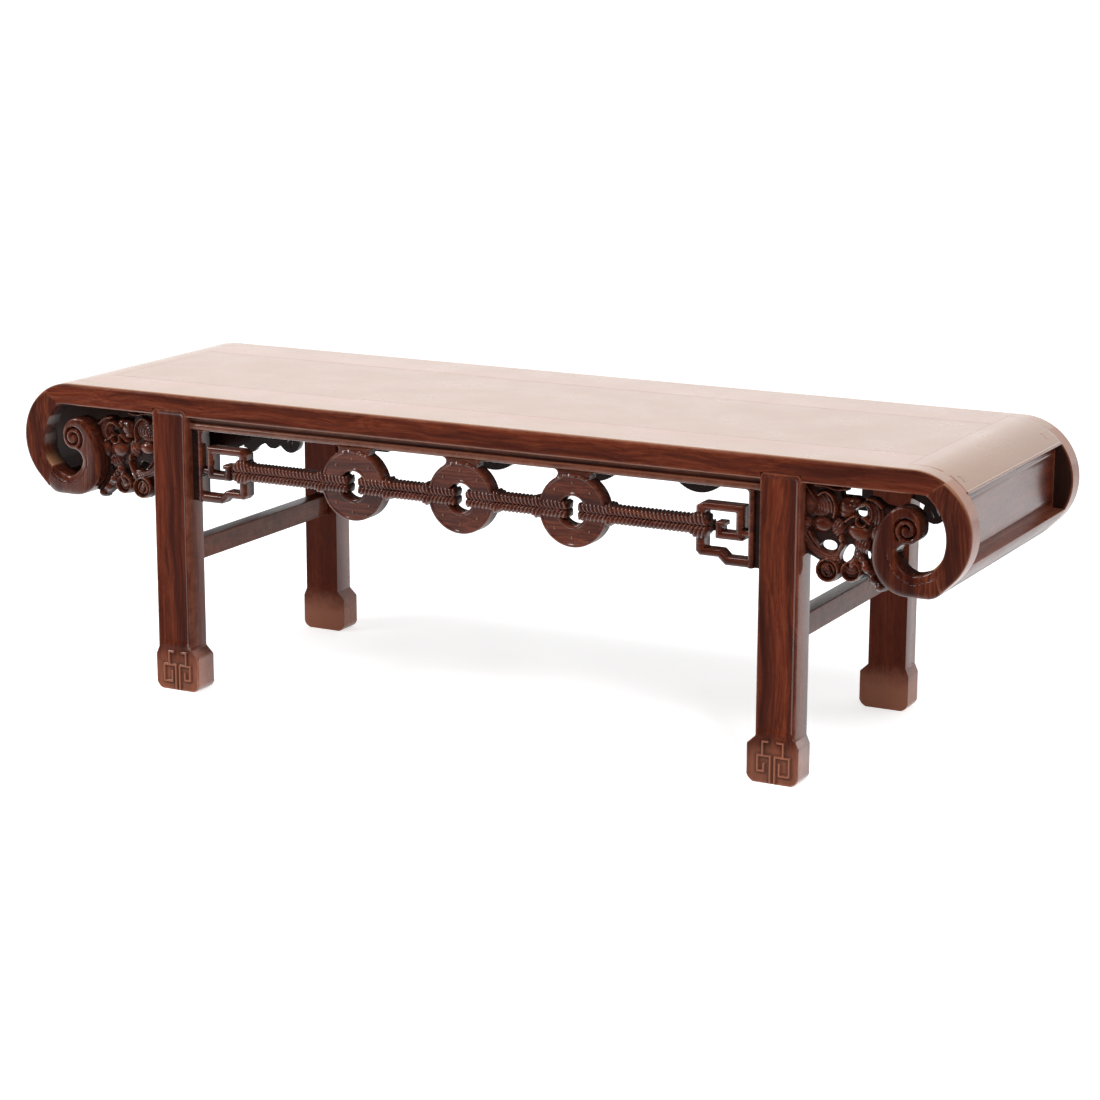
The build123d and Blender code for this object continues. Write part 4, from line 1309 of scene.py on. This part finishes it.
class KANGTABLE_OT_discs(bpy.types.Operator):
    """Carves the pierced discs, each hung from the apron's head by a neck"""

    bl_idname = "kang_table.discs"
    bl_label = "Pierced discs"

    def execute(self, context):
        rim = context.scene.kang_table_sizes.disc_rim / MM
        stud_radius, stud_rise, stud_circle = 1.7, 0.8, 29.5
        face, back = DISC_LOW[1] + stud_rise, DISC_HIGH[1]
        neck_back = FACE_Y + 8.0 - face
        hole_radius, neck, flare = 16.0, 19.0, 4.0
        neck_angle = math.asin(neck / DISC_RADIUS)
        edge = arc((0, DISC_Z), DISC_RADIUS, math.pi / 2 + neck_angle, math.pi * 2.5 - neck_angle, 120)
        right_flare = arc((neck + flare, HEAD_Z - flare), flare, math.pi, math.pi / 2, 6)
        left_flare = arc((-neck - flare, HEAD_Z - flare), flare, math.pi / 2, 0, 6)
        outline = joined(left_flare, edge, right_flare)
        hole = arc((0, DISC_Z), hole_radius, 0, 2 * math.pi, 65)[:-1]
        angles = np.radians([45, 90, 135, 225, 270, 315])
        studs = [(stud_circle * math.cos(a), DISC_Z + stud_circle * math.sin(a)) for a in angles]
        inner, outer = hole_radius + rim, DISC_RADIUS - rim
        slope = 1.1

        def set_back(points, distance):
            radius = np.hypot(points[:, 0], points[:, 1] - DISC_Z)
            from_edge = np.minimum(radius - hole_radius, DISC_RADIUS - radius).clip(0)
            field = step_up(radius, inner, inner + slope) * (1 - step_up(radius, outer - slope, outer))
            back_off = rounded(from_edge, 1.5, 1.4) + field
            stud = np.min([np.hypot(*(points - s).T) for s in studs], axis=0)
            back_off -= (stud_rise + 0.6) * np.sqrt(np.clip(1 - (stud / stud_radius) ** 2, 0, 1))
            return np.where(radius > DISC_RADIUS + 0.1, neck_back + rounded(distance, 1.2, 1.0), back_off)

        reach = (inner, inner + slope, outer - slope, outer)
        lines = [arc((0, DISC_Z), r, 0, 2 * math.pi, 100) for r in reach]
        lines += [
            arc((0, DISC_Z), r, math.pi / 2 + neck_angle - 0.03, math.pi / 2 - neck_angle + 0.03, 40)
            for r in (DISC_RADIUS, DISC_RADIUS + 0.2)
        ]
        lines += [arc(s, r, 0, 2 * math.pi, 13) for s in studs for r in (0.9, 1.5, 1.75)]
        rims = (0.4, 0.9, 1.6)
        loops = [outline, hole]
        shape = relief(loops, set_back, face, back, step=1.7, rims=rims, lines=lines, edge_step=1.2)
        finish = carved_finish("disc_hardwood", 8.9)
        # Painted shade grows with depth behind the carved face.
        marks = shade_behind(2.0, 8.0)
        for place, shift in (("left", -1), ("middle", 0), ("right", 1)):
            moved = (shape[0] + (shift * DISC_PITCH, 0, 0), shape[1])
            copies(SIDES, f"apron_disc_{place}", "carved", moved, finish, deep=marks)
        return {"FINISHED"}


def rope_swell(x):
    """How much thicker the rope is: where it meets a disc's edge and where it grips a fret's upright."""
    disc_swell, knot_swell, tail_thinning = 0.3, 0.42, 0.35
    at_disc = min(abs(abs(x - stop) - DISC_RADIUS - 3.0) for stop in (-DISC_PITCH, 0.0, DISC_PITCH))
    past_fret = abs(x) - FRET_LOW[0] - 5.0
    knot = knot_swell * math.exp(-((past_fret / 8.0) ** 4))
    swell = 1 + disc_swell * math.exp(-((at_disc / 3.5) ** 2)) + knot
    return swell * (1 - tail_thinning * step_up(past_fret, 7.0, 11.0))


def strand(start, end, side, sizes):
    """One carved strand of rope from start to end, above (1) or below (-1) the rope's middle line."""
    pitch, deep = sizes.rope_pitch / MM, sizes.rope_relief / MM
    half_y, half_z = (ROPE_HIGH[1] - ROPE_LOW[1]) / 2, 5.5
    middle_y = (ROPE_HIGH[1] + ROPE_LOW[1]) / 2
    knob_run, turns, count, squareness = 4.0, 4, 40, 0.6
    around = np.linspace(0, 2 * math.pi, count, endpoint=False)
    square_cos, square_sin = (
        np.sign(v) * np.abs(v) ** squareness for v in (np.cos(around), np.sin(around))
    )
    rows = []
    for x in np.arange(start, end + 0.01, pitch / 8):
        near = min(x - start, end - x, knob_run)
        swell = math.sqrt(max(0.01, 1 - (1 - near / knob_run) ** 2))
        thick = rope_swell(x)
        ridge = np.abs(np.sin(math.pi * (x / pitch + side * turns * around / (2 * math.pi)))) ** 0.6
        cut = (1 - ridge) * deep
        y = middle_y - (half_y * min(thick, 1.1) - cut) * square_cos * swell
        z = DISC_Z + side * (half_z - 0.9) * thick + (half_z * thick - cut) * square_sin * swell
        rows.append(np.stack([np.full(count, x), y, z], 1))
    return skin(rows)


class KANGTABLE_OT_ropes(bpy.types.Operator):
    """Carves the double rope that runs through the discs, thicker where it meets them"""

    bl_idname = "kang_table.ropes"
    bl_label = "Ropes"

    def execute(self, context):
        sizes = context.scene.kang_table_sizes
        past_fret, end_gap = 21.0, 5.0
        reach = FRET_LOW[0] + past_fret + end_gap
        stops = [-reach, -DISC_PITCH, 0.0, DISC_PITCH, reach]
        # Painted shade grows with depth behind the carved face.
        finish, marks = carved_finish("rope_hardwood", 1.9), shade_behind(2.0, 8.0)
        for index, side in enumerate(("far_left", "near_left", "near_right", "far_right")):
            start, end = stops[index] + end_gap, stops[index + 1] - end_gap
            shape = together(*(strand(start, end, level, sizes) for level in (1, -1)))
            copies(SIDES, f"apron_rope_{side}", "carved", shape, finish, smooth=60, deep=marks)
        return {"FINISHED"}


def blob(points, centre, half, turn):
    """Scaled distance from the middle of an ellipse: 1 on its edge."""
    c, s = math.cos(math.radians(turn)), math.sin(math.radians(turn))
    x, z = (points - centre).T
    return np.sqrt(((x * c + z * s) / half[0]) ** 2 + ((z * c - x * s) / half[1]) ** 2)


# The spandrel's carving: (middle, half sizes, turn in degrees, rise above the ground, and for ridges the
# point they curve around and the distance between them)
SPANDREL_BLOBS = [
    # Head of the bat with its brow, eyes and snout
    ((440.5, 297), (10.2, 11.0), 0, 9.0, None),
    ((448, 302), (7.6, 6.6), 0, 8.0, None),
    ((437.8, 301.5), (2.4, 2.4), 0, 12.0, None),
    ((445.4, 300.8), (2.4, 2.4), 0, 12.0, None),
    ((438.5, 290.5), (7.0, 5.0), -10, 10.5, ((438, 320), 3.0)),
    # Body and the foot under it
    ((431.0, 275), (8.5, 12.0), -10, 9.0, ((400, 300), 3.6)),
    ((435.5, 264.5), (3.8, 5.8), 5, 11.5, None),
    # Wing beside the leg, with its boss
    ((400, 300), (13.0, 19.0), 0, 6.0, None),
    ((417, 299), (15.0, 14.0), 0, 8.5, ((408, 295), 3.7)),
    ((411, 289), (11.0, 6.0), 0, 8.5, ((340, 289), 3.2)),
    ((413.5, 276.5), (12.5, 9.0), 0, 10.0, None),
    ((397, 277), (6.0, 7.5), 0, 8.5, ((397, 277), 3.6)),
    # Wing beside the volute
    ((453, 272), (14.0, 10.5), -15, 9.0, None),
    ((458, 259), (11.5, 9.5), -15, 9.0, ((400, 277), 3.3)),
    ((470, 294), (11.0, 15.0), 10, 8.0, ((456, 291), 3.6)),
    ((473, 272), (9.0, 12.0), 0, 7.5, None),
    # Coins and the leaf on the second
    ((421, 230.5), (11.5, 12.0), 0, 8.0, ((421, 230.5), 4.6)),
    ((446.5, 232.5), (11.0, 9.5), 0, 7.0, ((446, 240), 4.2)),
    ((448, 240), (5.0, 8.0), -25, 10.0, None),
    # Knots of the branch
    ((462, 237), (7.5, 6.0), -45, 10.5, None),
    ((470, 226.5), (7.5, 5.6), -45, 9.5, None),
    ((477.5, 219.0), (6.2, 5.6), 0, 10.0, None),
]
# (path, half width, rise, distance between its ridges: across it, along it if negative, or 0 for none)
SPANDREL_STEMS = [
    ([(394, 318), (408, 301)], 1.5, 9.5, 0),
    ([(410, 307), (417, 312), (425, 307), (429, 297), (427, 286)], 2.0, 10.5, 0),
    ([(438, 315), (428, 313), (418, 316), (405, 316)], 2.2, 7.0, 0),
    ([(440, 283), (448, 290), (458, 289), (466, 283)], 2.0, 11.0, 0),
    ([(451, 296), (456, 302), (463, 303), (468, 298), (469, 290), (465, 285)], 2.2, 10.5, 0),
    ([(462, 308), (471, 307), (478, 300)], 1.8, 10.0, 0),
    ([(392, 268), (399, 259), (408, 251), (418, 246), (431, 244)], 7.5, 8.5, -3.6),
    ([(401, 268), (406, 260), (413, 253)], 1.8, 10.0, 0),
    ([(437, 259), (434, 251), (429, 243)], 3.2, 10.5, 0),
    ([(452, 251), (458, 243), (466, 233), (474, 223)], 6.0, 7.5, 5.2),
]
# (middle, outer radius, half width of the rim, rise)
SPANDREL_RINGS = [
    ((421, 230.5), 11.2, 2.0, 9.5),
    ((446.5, 232), 9.8, 1.8, 9.5),
    ((456.5, 284.5), 5.6, 1.6, 10.0),
]
# (middle, half sizes, turn)
SPANDREL_HOLES = [
    ((420.5, 255.0), (8.6, 5.6), 5),
    ((441.0, 248.8), (5.6, 11.0), -30),
    ((463.0, 250.2), (2.6, 5.6), 0),
    ((455.0, 293.2), (6.4, 5.6), 20),
    ((424.8, 231.5), (1.2, 5.6), 25),
    ((419.0, 227.0), (0.9, 4.4), 25),
]
# Outline of the ground that joins the carving
SPANDREL_OUTLINE = (
    [(388, 324), (434, 324), (435, 308.5), (447, 308.5), (452, 304), (461, 309.5), (471, 309), (480, 303)]
    + [(500, 300), (500, 221), (483, 217), (478.5, 214), (472, 216.5), (465, 222.5), (458, 226), (452, 222)]
    + [(445, 223), (437, 227), (433, 223), (429, 219.5), (421.5, 218), (413, 220.5), (409.5, 228)]
    + [(409.5, 237), (401, 241), (388, 246)]
)
GROUND = 4.0  # height of the carving's edge above its back


def notches(run, pitch):
    """Depth of round ridges with sharp notches between them."""
    return 1.5 * (1 - np.abs(np.sin(math.pi * run / pitch)) ** 0.6)


def spandrel_height(points):
    """Height of the carving above its back, negative outside it."""
    ground = np.array(SPANDREL_OUTLINE, float)
    near = distances(points, ground, closed=True)
    height = np.where(inside(points, [ground]), np.minimum(2 * near, GROUND + 2.5), -near)

    def raised(q, half, rise, cut=0.0):
        dome = GROUND + rise * np.sqrt(np.clip(1 - q**2, 0, 1)) - cut
        return np.maximum(height, np.where(q < 1, dome, -(q - 1) * half))

    for centre, half, turn, rise, ridges in SPANDREL_BLOBS:
        cut = notches(np.hypot(*(points - ridges[0]).T), ridges[1]) if ridges else 0.0
        height = raised(blob(points, centre, half, turn), min(half), rise, cut)
    for stem, half, rise, pitch in SPANDREL_STEMS:
        off, run = distances(points, smoothed(stem), with_run=True)
        cut = notches(run if pitch > 0 else off, abs(pitch)) if pitch else 0.0
        height = raised(off / half, half, rise, cut)
    for centre, radius, half, rise in SPANDREL_RINGS:
        height = raised(np.abs(np.hypot(*(points - centre).T) - radius) / half, half, rise)
    return height


def smoothed(path):
    """A path with its corners rounded by two rounds of corner cutting."""
    path = np.array(path, float)
    for _ in range(2):
        start, end = path[:-1], path[1:]
        cut = np.stack([0.75 * start + 0.25 * end, 0.25 * start + 0.75 * end], 1).reshape(-1, 2)
        path = np.concatenate([path[:1], cut[1:-1], path[-1:]])
    return path


class KANGTABLE_OT_spandrels(bpy.types.Operator):
    """Carves the spandrels: a bat over two coins on a ribbon"""

    bl_idname = "kang_table.spandrels"
    bl_label = "Spandrels"

    def execute(self, context):
        face, back = BAY_LOW[1], BAY_HIGH[1]
        thick = back - face

        def field(points):
            solid = -spandrel_height(points)
            for centre, half, turn in SPANDREL_HOLES:
                solid = np.maximum(solid, (1 - blob(points, centre, half, turn)) * min(half))
            near = distances(points, VOLUTE_EDGE)
            solid = np.maximum(solid, np.where(inside(points, [VOLUTE_EDGE]), near, -near))
            solid = np.maximum(solid, LEG_OUT - points[:, 0])
            return np.maximum(solid, points[:, 1] - RAIL_Z)

        low, high = (LEG_OUT - 2.1, 212.0), (BAY_HIGH[0] + 6, RAIL_Z + 2.1)
        loops = contour(field, low, high, step=0.6)

        def set_back(points, distance):
            height = np.clip(spandrel_height(points), 0, thick)
            return np.clip(thick - height, 0, thick - 2) + rounded(distance, 1.2, 0.8)

        shape = relief(loops, set_back, face, back, step=0.85, rims=(0.35, 0.8), lines=(), edge_step=0.7)
        finish = carved_finish("spandrel_hardwood", 8.1)
        # Painted shade grows with depth behind the carved face.
        marks = shade_behind(4.5, 10.5)
        copies(CORNERS, "spandrel", "carved", shape, finish, smooth=40, deep=marks)
        return {"FINISHED"}


# ---------------------------------------------------------------------------------------------------
# The stage


CAMERA_PLACE = (1.47639, -2.76498, 0.90444)
CAMERA_ANGLES = (27.764, 13.162, 0.172)
CAMERA_LENS = 93.358


class KANGTABLE_OT_stage(bpy.types.Operator):
    """Sets the floor, the studio light and the camera"""

    bl_idname = "kang_table.stage"
    bl_label = "Stage"

    def execute(self, context):
        scene = context.scene
        scene.view_settings.view_transform = "Standard"
        self.floor(scene)
        self.world(scene)
        self.lamps(scene)
        self.camera(scene)
        return {"FINISHED"}

    @staticmethod
    def floor(scene):
        mesh = bpy.data.meshes.new("studio_floor")
        half = 40.0
        corners = [(-half, -half, 0), (half, -half, 0), (half, half, 0), (-half, half, 0)]
        mesh.from_pydata(corners, [], [(0, 1, 2, 3)])
        floor = bpy.data.objects.new("studio_floor", mesh)
        scene.collection.objects.link(floor)
        material = bpy.data.materials.new("studio_floor")
        n, glow = fresh_nodes(material), 0.6
        path = n.add("ShaderNodeLightPath")
        seen = n.math("MAXIMUM", path.outputs["Is Camera Ray"], path.outputs["Is Glossy Ray"])
        seen = n.math("MAXIMUM", seen, path.outputs["Is Transmission Ray"])
        n.surface(
            "ShaderNodeBsdfPrincipled",
            {
                "Base Color": (*scene.kang_table_finish.floor, 1.0),
                "Roughness": 1.0,
                "Specular IOR Level": 0.0,
                "Emission Color": (1, 1, 1, 1),
                "Emission Strength": n.times(seen, glow),
            },
        )
        mesh.materials.append(material)

    @staticmethod
    def world(scene):
        world = bpy.data.worlds.new("studio")
        scene.world = world
        n, studio, window = fresh_nodes(world), 0.36, 1.3
        path = n.add("ShaderNodeLightPath")
        way = n.add("ShaderNodeSeparateXYZ", {0: n.add("ShaderNodeTexCoord").outputs["Generated"]})
        behind = n.span(way.outputs["Y"], 0.2, 0.9)
        low = n.math("SUBTRACT", 1.0, n.span(way.outputs["Z"], 0.35, 0.75))
        band = n.times(behind, low)
        level = n.math("ADD", studio, n.times(band, window))
        mirrored = n.times(path.outputs["Is Glossy Ray"], band)
        seen = n.math("MAXIMUM", path.outputs["Is Camera Ray"], path.outputs["Is Transmission Ray"])
        strength = n.add("ShaderNodeMix", {0: seen, 2: n.math("MAXIMUM", level, mirrored), 3: 1.0}).outputs[0]
        light = {"Color": (1, 1, 1, 1), "Strength": strength}
        n.surface("ShaderNodeBackground", light, "ShaderNodeOutputWorld")

    @staticmethod
    def lamps(scene):
        aim = Vector((0, 0, 0.2))
        for name, place, size, power in (
            ("softbox_right", (2.2, -2.2, 2.4), 0.9, 66),
            ("softbox_left", (-2.4, -1.8, 2.2), 0.9, 52),
            ("softbox_overhead", (-0.9, -0.7, 2.6), 0.8, 30),
        ):
            light = bpy.data.lights.new(name, "AREA")
            light.shape = "SQUARE"
            light.size = size
            light.energy = power
            lamp = bpy.data.objects.new(name, light)
            lamp.location = place
            lamp.rotation_euler = (aim - Vector(place)).to_track_quat("-Z", "Y").to_euler()
            scene.collection.objects.link(lamp)

    @staticmethod
    def camera(scene):
        turn, lift, roll = (math.radians(a) for a in CAMERA_ANGLES)
        back = Vector((math.sin(turn) * math.cos(lift), -math.cos(turn) * math.cos(lift), math.sin(lift)))
        right = Vector((math.cos(turn), math.sin(turn), 0))
        up = back.cross(right)
        c, s = math.cos(roll), math.sin(roll)
        axes = (c * right + s * up, c * up - s * right, back)
        data = bpy.data.cameras.new("studio_camera")
        data.lens = CAMERA_LENS
        data.sensor_fit = "HORIZONTAL"
        data.sensor_width = 36.0
        data.clip_end = 200.0
        camera = bpy.data.objects.new("studio_camera", data)
        matrix = Matrix([(*row, place) for row, place in zip(zip(*axes), CAMERA_PLACE)] + [(0, 0, 0, 1)])
        camera.matrix_world = matrix
        scene.collection.objects.link(camera)
        scene.camera = camera


# ---------------------------------------------------------------------------------------------------
# Registration

STEPS = (
    KANGTABLE_OT_stage,
    KANGTABLE_OT_long_rails,
    KANGTABLE_OT_top_panel,
    KANGTABLE_OT_end_rails,
    KANGTABLE_OT_scroll_arms,
    KANGTABLE_OT_volutes,
    KANGTABLE_OT_end_panels,
    KANGTABLE_OT_legs,
    KANGTABLE_OT_stretchers,
    KANGTABLE_OT_apron_heads,
    KANGTABLE_OT_frets,
    KANGTABLE_OT_discs,
    KANGTABLE_OT_ropes,
    KANGTABLE_OT_spandrels,
)


class KANGTABLE_PT_panel(bpy.types.Panel):
    """Lists the table's pieces, sizes and colours"""

    bl_idname = "KANGTABLE_PT_panel"
    bl_label = "Kang table"
    bl_space_type = "VIEW_3D"
    bl_region_type = "UI"
    bl_category = "Kang table"

    def draw(self, context):
        for group in (context.scene.kang_table_sizes, context.scene.kang_table_finish):
            box = self.layout.box()
            for name in type(group).__annotations__:
                box.prop(group, name)
        for step in STEPS:
            self.layout.operator(step.bl_idname)


CLASSES = (KangTableSizes, KangTableFinish, *STEPS, KANGTABLE_PT_panel)


def register():
    for each in CLASSES:
        bpy.utils.register_class(each)
    bpy.types.Scene.kang_table_sizes = bpy.props.PointerProperty(type=KangTableSizes)
    bpy.types.Scene.kang_table_finish = bpy.props.PointerProperty(type=KangTableFinish)


def unregister():
    del bpy.types.Scene.kang_table_finish
    del bpy.types.Scene.kang_table_sizes
    for each in reversed(CLASSES):
        bpy.utils.unregister_class(each)


def main():
    register()
    for step in STEPS:
        group, name = step.bl_idname.split(".")
        if getattr(getattr(bpy.ops, group), name)() != {"FINISHED"}:
            raise RuntimeError(f"{step.bl_label} was not finished")


if __name__ == "__main__":
    main()
